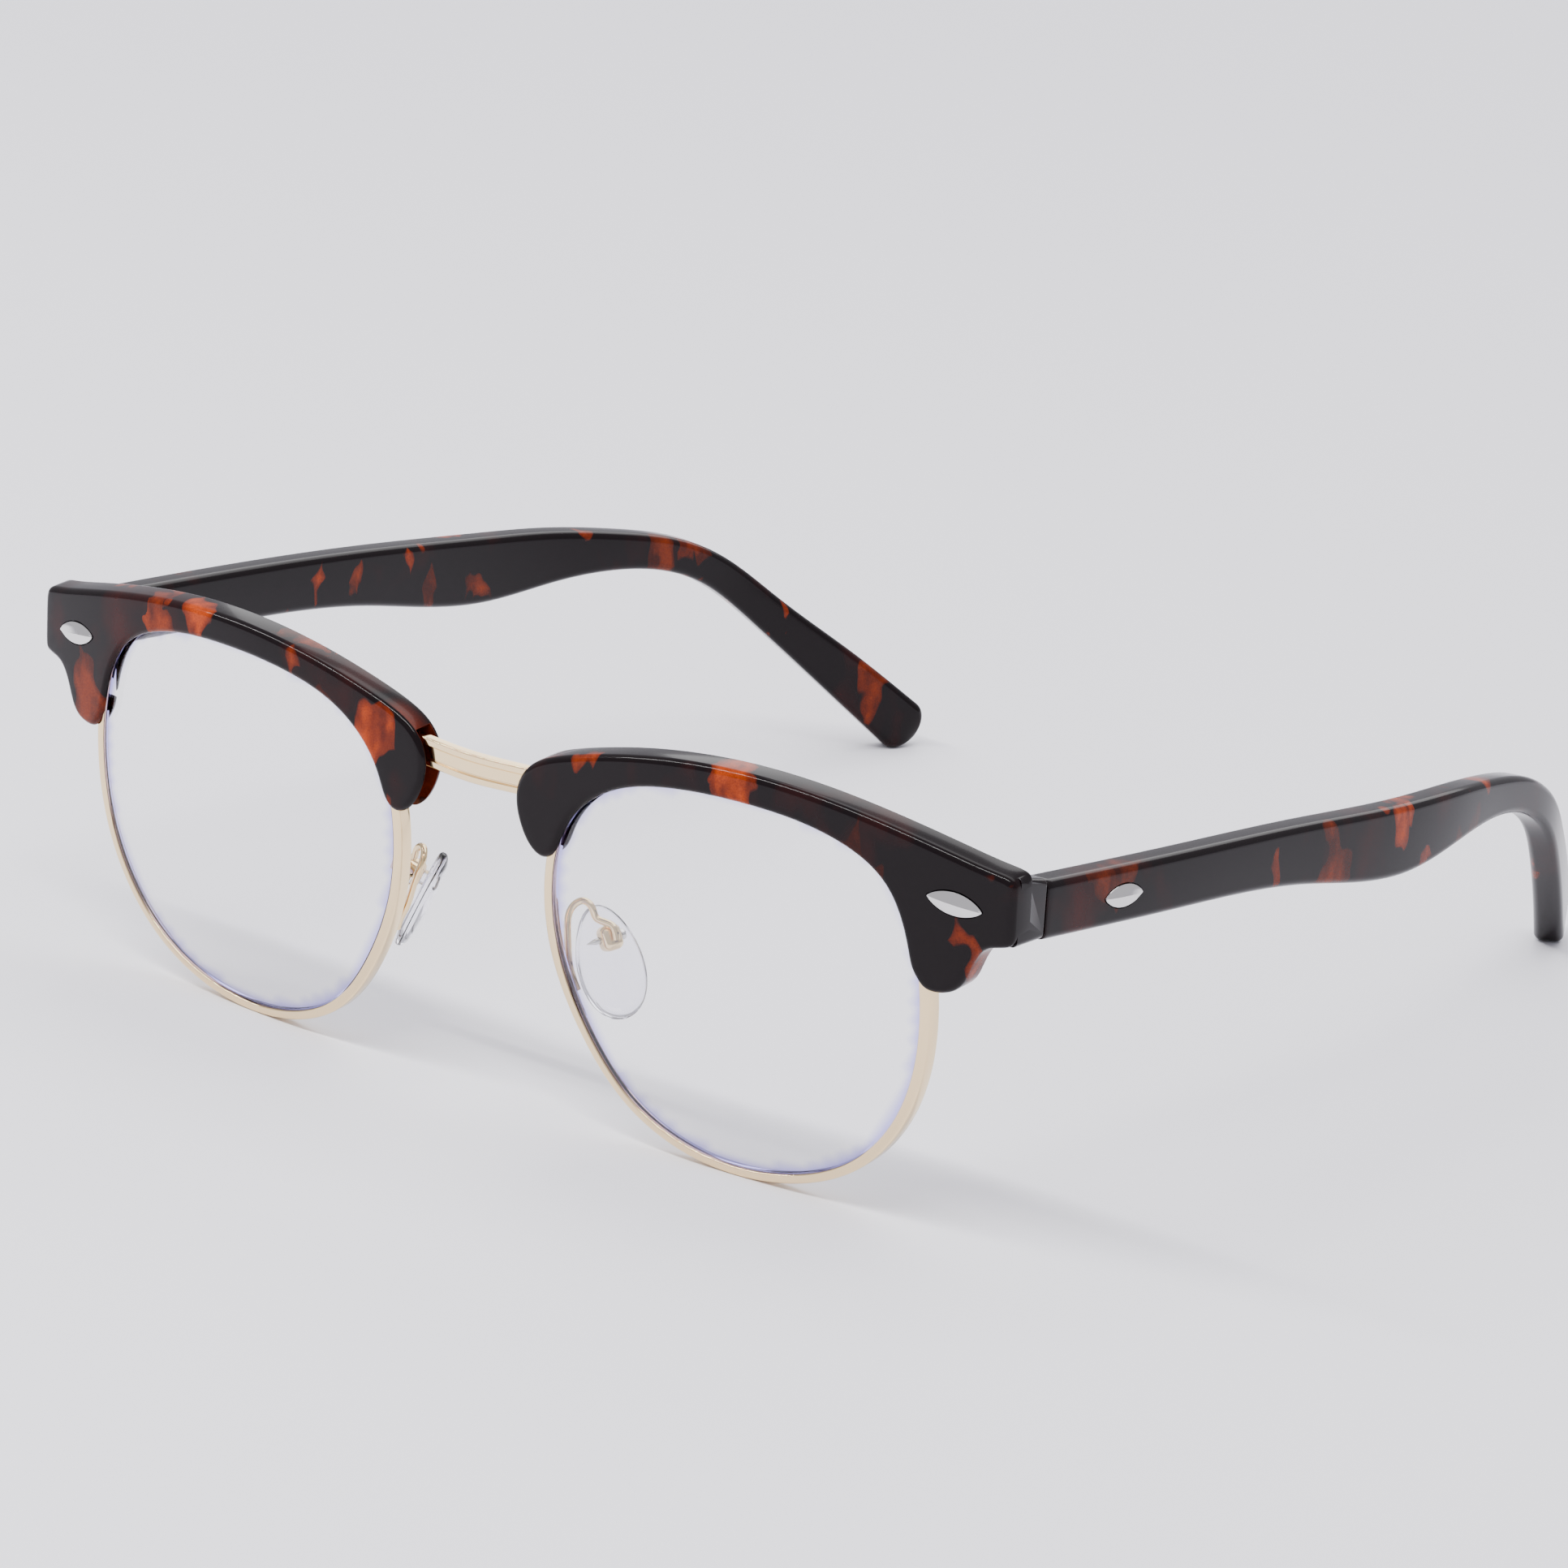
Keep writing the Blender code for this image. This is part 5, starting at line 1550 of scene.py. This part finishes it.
@dataclass(frozen=True)
class NosePad:
    """A clear pad that tilts on a pin in a gold cup, held by a looped wire.

    Attributes:
        eyewire: the rim whose back carries the wire.
        sweep: the Geometry Nodes that make the wire.
        length: length of the pad.
        width: width of the pad.
        thick: thickness of the pad.
        u: the pin's place across.
        v: the pin's place up the front.
        w: the pin's place behind the rim's face.
        facing: way the pad faces on the wearer's left.
        upward: rough line up the pad.
        drop: the pad's middle below its pin.
        stand_off: pin to the pad's back.
        cup: size of the cup across and up, and how far its mouth is from the pin.
        wall: wall of the cup.
        boss: size of the pad's boss across and up.
        pin: radius of the pin.
        wire: radius of the wire.
        loop: the wire's loop, from the cup's middle.
    """

    eyewire: Eyewire
    sweep: WireSweep
    length: float = 13.4
    width: float = 8.0
    thick: float = 1.9
    u: float = 15.0
    v: float = 0.457 * 47.8
    w: float = 7.2
    facing: tuple[float, float, float] = (-0.80, 0.456, -0.39)
    upward: tuple[float, float, float] = (-0.443, 0.014, 0.90)
    drop: float = 2.7
    stand_off: float = 1.5
    cup: tuple[float, float, float] = (2.5, 3.0, 1.1)
    wall: float = 0.4
    boss: tuple[float, float] = (1.2, 1.7)
    pin: float = 0.35
    wire: float = 0.42
    loop: tuple[tuple[float, float, float], ...] = (
        (-2.4, -4.0, -2.7), (-2.9, -3.8, -0.7), (-3.4, -3.5, 1.5), (-3.5, -2.7, 3.4), (-2.6, -1.9, 4.2),
        (-1.5, -1.6, 3.6), (-1.0, -1.4, 2.5))

    def axes(self, side: Side) -> tuple[np.ndarray, np.ndarray, np.ndarray, np.ndarray]:
        """Pin's middle, and the directions across, up and facing."""
        form = self.eyewire.form
        facing = unit(self.facing)
        up = unit(np.array(self.upward) - np.dot(self.upward, facing) * facing)
        across = np.cross(facing, up)
        pivot = form.spot(self.u, self.v, self.w)
        return pivot * side.flip, across * side.flip, up * side.flip, facing * side.flip

    def build_pad(self, side: Side) -> bpy.types.Object:
        """Make the rounded egg-shaped pad with its boss."""
        pivot, across, up, facing = self.axes(side)
        levels = [(0.86, 0.0), (0.93, 0.04), (0.975, 0.16), (1.0, 0.38), (1.0, 0.75), (0.975, 1.0),
                  (0.93, 1.22), (0.86, 1.4), (0.76, 1.55), (0.62, 1.68), (0.46, 1.78), (0.28, 1.85),
                  (0.12, self.thick)]
        rings = []
        turns = np.linspace(0.0, 2 * math.pi, 72, endpoint=False)[:, None]
        tall, wide = np.sin(turns), np.cos(turns) * (1 - 0.14 * np.sin(turns))
        for scale, rise in levels:
            middle = pivot + facing * (self.stand_off + rise) - up * self.drop
            rings.append(middle + up * tall * scale * self.length / 2
                         + across * wide * scale * self.width / 2)
        name = f"nose_pad_{side.word}"
        pad = Shell().loft(rings).build(name)
        half_across, half_up = self.boss[0] / 2, self.boss[1] / 2
        low, high = -self.boss[1] / 2, self.stand_off + 0.6
        boss = rounded_block(f"{name} boss", pivot + facing * (low + high) / 2, (across, up, facing),
                             (half_across, half_up, (high - low) / 2), 0.3)
        merge(pad, [boss], Blend.JOIN)
        merge(pad, [self.bore(f"{name} bore", side)], Blend.CUT)
        SILICONE.dress(pad)
        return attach(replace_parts(pad, name), f"pad_{side.word}")

    def bore(self, name: str, side: Side) -> bpy.types.Object:
        """Make the cutter of the pin's hole."""
        pivot, across, _, _ = self.axes(side)
        radius = self.pin + 0.1
        return turned(name, pivot - across * 4, across, [(0.0, radius), (8.0, radius)], 32)

    def build_cup(self, side: Side) -> list[bpy.types.Object]:
        """Make the rounded gold cup and the pointed screw across it."""
        pivot, across, up, facing = self.axes(side)
        wide, tall, mouth = self.cup
        name = f"pad_box_{side.word}"
        low = -mouth - self.wall
        cup = rounded_block(name, pivot + facing * (low + mouth) / 2, (across, up, facing),
                            (wide / 2, tall / 2, (mouth - low) / 2), 0.85, 7)
        hollow = rounded_block(f"{name} hollow", pivot + facing * 0.6, (across, up, facing),
                               (wide / 2 - self.wall, tall / 2 - self.wall, mouth + 0.6), 0.3, 3)
        merge(cup, [hollow, self.bore(f"{name} bore", side)], Blend.CUT)
        GOLD.dress(cup)
        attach(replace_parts(cup, name), "front")
        half, head = wide / 2, 0.65
        profile = [(-half - 0.75, 0.02), (-half - 0.75, 0.35), (-half - 0.70, 0.5),
                   (-half - 0.55, head - 0.03),
                   (-half - 0.45, head), (-half - 0.15, head), (-half - 0.15, self.pin),
                   (half + 0.5, self.pin), (half + 0.6, self.pin * 0.95), (half + 1.6, 0.03)]
        screw_name = f"pad_screw_{side.word}"
        screw = turned(screw_name, pivot, -across, profile)
        slot = rounded_block(f"{screw_name} slot", pivot + across * (half + 0.8), (up, facing, across),
                             (1.2, 0.1, 0.2), 0.03, 1)
        merge(screw, [slot], Blend.CUT)
        STEEL.dress(screw)
        return [cup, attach(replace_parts(screw, screw_name), "front")]

    def build_wire(self, side: Side) -> bpy.types.Object:
        """Run the wire from the rim's back up over its loop to the cup."""
        wire, form = self.eyewire, self.eyewire.form
        level = wire.depth + CLEAR + self.wire
        foot, root = (form.spot(wire.edge_u(self.v - d, False) + wire.width / 2, self.v - d, level)
                      for d in (5.2, 3.6))
        pivot, _, up, facing = self.axes(Side.LEFT)
        back = pivot - facing * (self.cup[2] + self.wall + CLEAR + self.wire)
        steps = [pivot + np.array(step) for step in self.loop]
        path = smooth_curve([foot, root, *steps, back + up * 1.2, back - up * 0.4], 90)
        name = f"pad_arm_{side.word}"
        arm = self.sweep.run(name, path * side.flip, self.wire, 160, GOLD.material())
        GOLD.dress(arm)
        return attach(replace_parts(arm, name), "front")

    def build(self, side: Side) -> list[bpy.types.Object]:
        """Make one pad with all that holds it."""
        return [self.build_pad(side), *self.build_cup(side), self.build_wire(side)]


# ------------------------------------------------------------------ studio


@dataclass(frozen=True)
class Softbox:
    """A soft area light.

    Attributes:
        name: what it does.
        place: where it stands, in metres.
        size: width and height, in metres.
        power: watts.
        aim: the point it faces.
    """

    name: str
    place: tuple[float, float, float]
    size: tuple[float, float]
    power: float
    aim: tuple[float, float, float] = (0.0, -0.02, 0.02)

    def build(self) -> bpy.types.Object:
        """Add the light."""
        lamp = bpy.data.lights.new(self.name, "AREA")
        lamp.shape = "RECTANGLE"
        lamp.size, lamp.size_y = self.size
        lamp.energy = self.power
        made = bpy.data.objects.new(self.name, lamp)
        bpy.context.scene.collection.objects.link(made)
        made.location = self.place
        made.rotation_euler = (Vector(self.aim) - Vector(self.place)).to_track_quat("-Z", "Y").to_euler()
        return made


@dataclass(frozen=True)
class Studio:
    """White paper floor, soft lights and the camera.

    Attributes:
        form: the front's form, for the shift of the whole.
        sky: brightness of the surroundings.
        boxes: the lights.
    """

    form: FrontForm
    sky: float = 0.84
    boxes: tuple[Softbox, ...] = (
        Softbox("front tube", (-0.35, -0.45, 0.85), (1.5, 0.022), 15.0, (-0.35, -0.45, 0.0)),
        Softbox("overhead bank", (0.05, 0.35, 1.10), (1.3, 0.6), 8.0),
        Softbox("back bank", (-0.45, 1.1, 0.75), (1.2, 0.6), 6.0),
    )

    def floor(self) -> bpy.types.Object:
        """Lay the paper under the glasses."""
        shell = Shell()
        reach = 6000.0
        start = shell.add([(-reach, -reach, 0.0), (reach, -reach, 0.0), (reach, reach, 0.0),
                           (-reach, reach, 0.0)])
        shell.faces.append(tuple(range(start, start + 4)))
        paper = shell.build("studio paper")
        if paper.data.polygons[0].normal.z < 0:
            paper.data.flip_normals()
        paper.data.materials.append(PAPER.material())
        return paper

    def surroundings(self) -> None:
        """Light everything evenly from all round."""
        world = bpy.data.worlds.new("studio")
        bpy.context.scene.world = world
        world.use_nodes = True
        back = world.node_tree.nodes["Background"]
        back.inputs["Color"].default_value = srgb("#f4f3fc")
        back.inputs["Strength"].default_value = self.sky

    def camera(self) -> bpy.types.Object:
        """Stand a long lens in front of the wearer's left, looking down a little."""
        lens = bpy.data.cameras.new("studio camera")
        lens.sensor_width = 36.0
        lens.lens = 180.86
        lens.clip_end = 20.0
        made = bpy.data.objects.new("studio camera", lens)
        bpy.context.scene.collection.objects.link(made)
        right = Vector((0.78085, 0.62125, 0.06575))
        up = Vector((-0.23635, 0.19636, 0.95162))
        turn = Matrix((right, up, right.cross(up))).transposed().to_4x4()
        place = Vector((545.93, -663.64 + self.form.shift, 309.89)) * MM
        made.matrix_world = Matrix.Translation(place) @ turn
        bpy.context.scene.camera = made
        return made

    def build(self) -> None:
        """Set up the whole studio."""
        self.floor()
        self.surroundings()
        for box in self.boxes:
            box.build()
        self.camera()


# ------------------------------------------------------------------ the whole


def find_shift() -> float:
    """Read from the frame how far the whole stands back from the drawing's zero."""
    low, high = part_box("hinge_screw_left")
    return (low.y + high.y) / 2 / MM - (Brow.lug_back + HINGE_BEHIND)


def report(title: str, pieces: Sequence[bpy.types.Object]) -> None:
    """Log each piece with its size."""
    for piece in pieces:
        log.info("%s: %s, %d faces", title, piece.name, len(piece.data.polygons))


def main() -> None:
    """Build the eyeglasses and the studio."""
    logging.basicConfig(level=logging.INFO, format="%(name)s: %(message)s")
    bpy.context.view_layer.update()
    form = FrontForm(find_shift())
    eyewire = Eyewire(form)
    bridge = Bridge(eyewire)
    brow = Brow(eyewire, bridge)
    temple = Temple(brow)
    hinge = Hinge(temple, RepeatAlong())
    pad = NosePad(eyewire, WireSweep())
    report("bridge", [bridge.build()])
    parts: dict[str, Callable[[Side], list[bpy.types.Object]]] = {
        "eyewire": eyewire.build, "brow": brow.build, "temple": temple.build, "hinge": hinge.build,
        "nose pad": pad.build}
    for title, make in parts.items():
        for side in Side:
            report(f"{title} {side.word}", make(side))
    Studio(form).build()


if __name__ == "__main__":
    main()
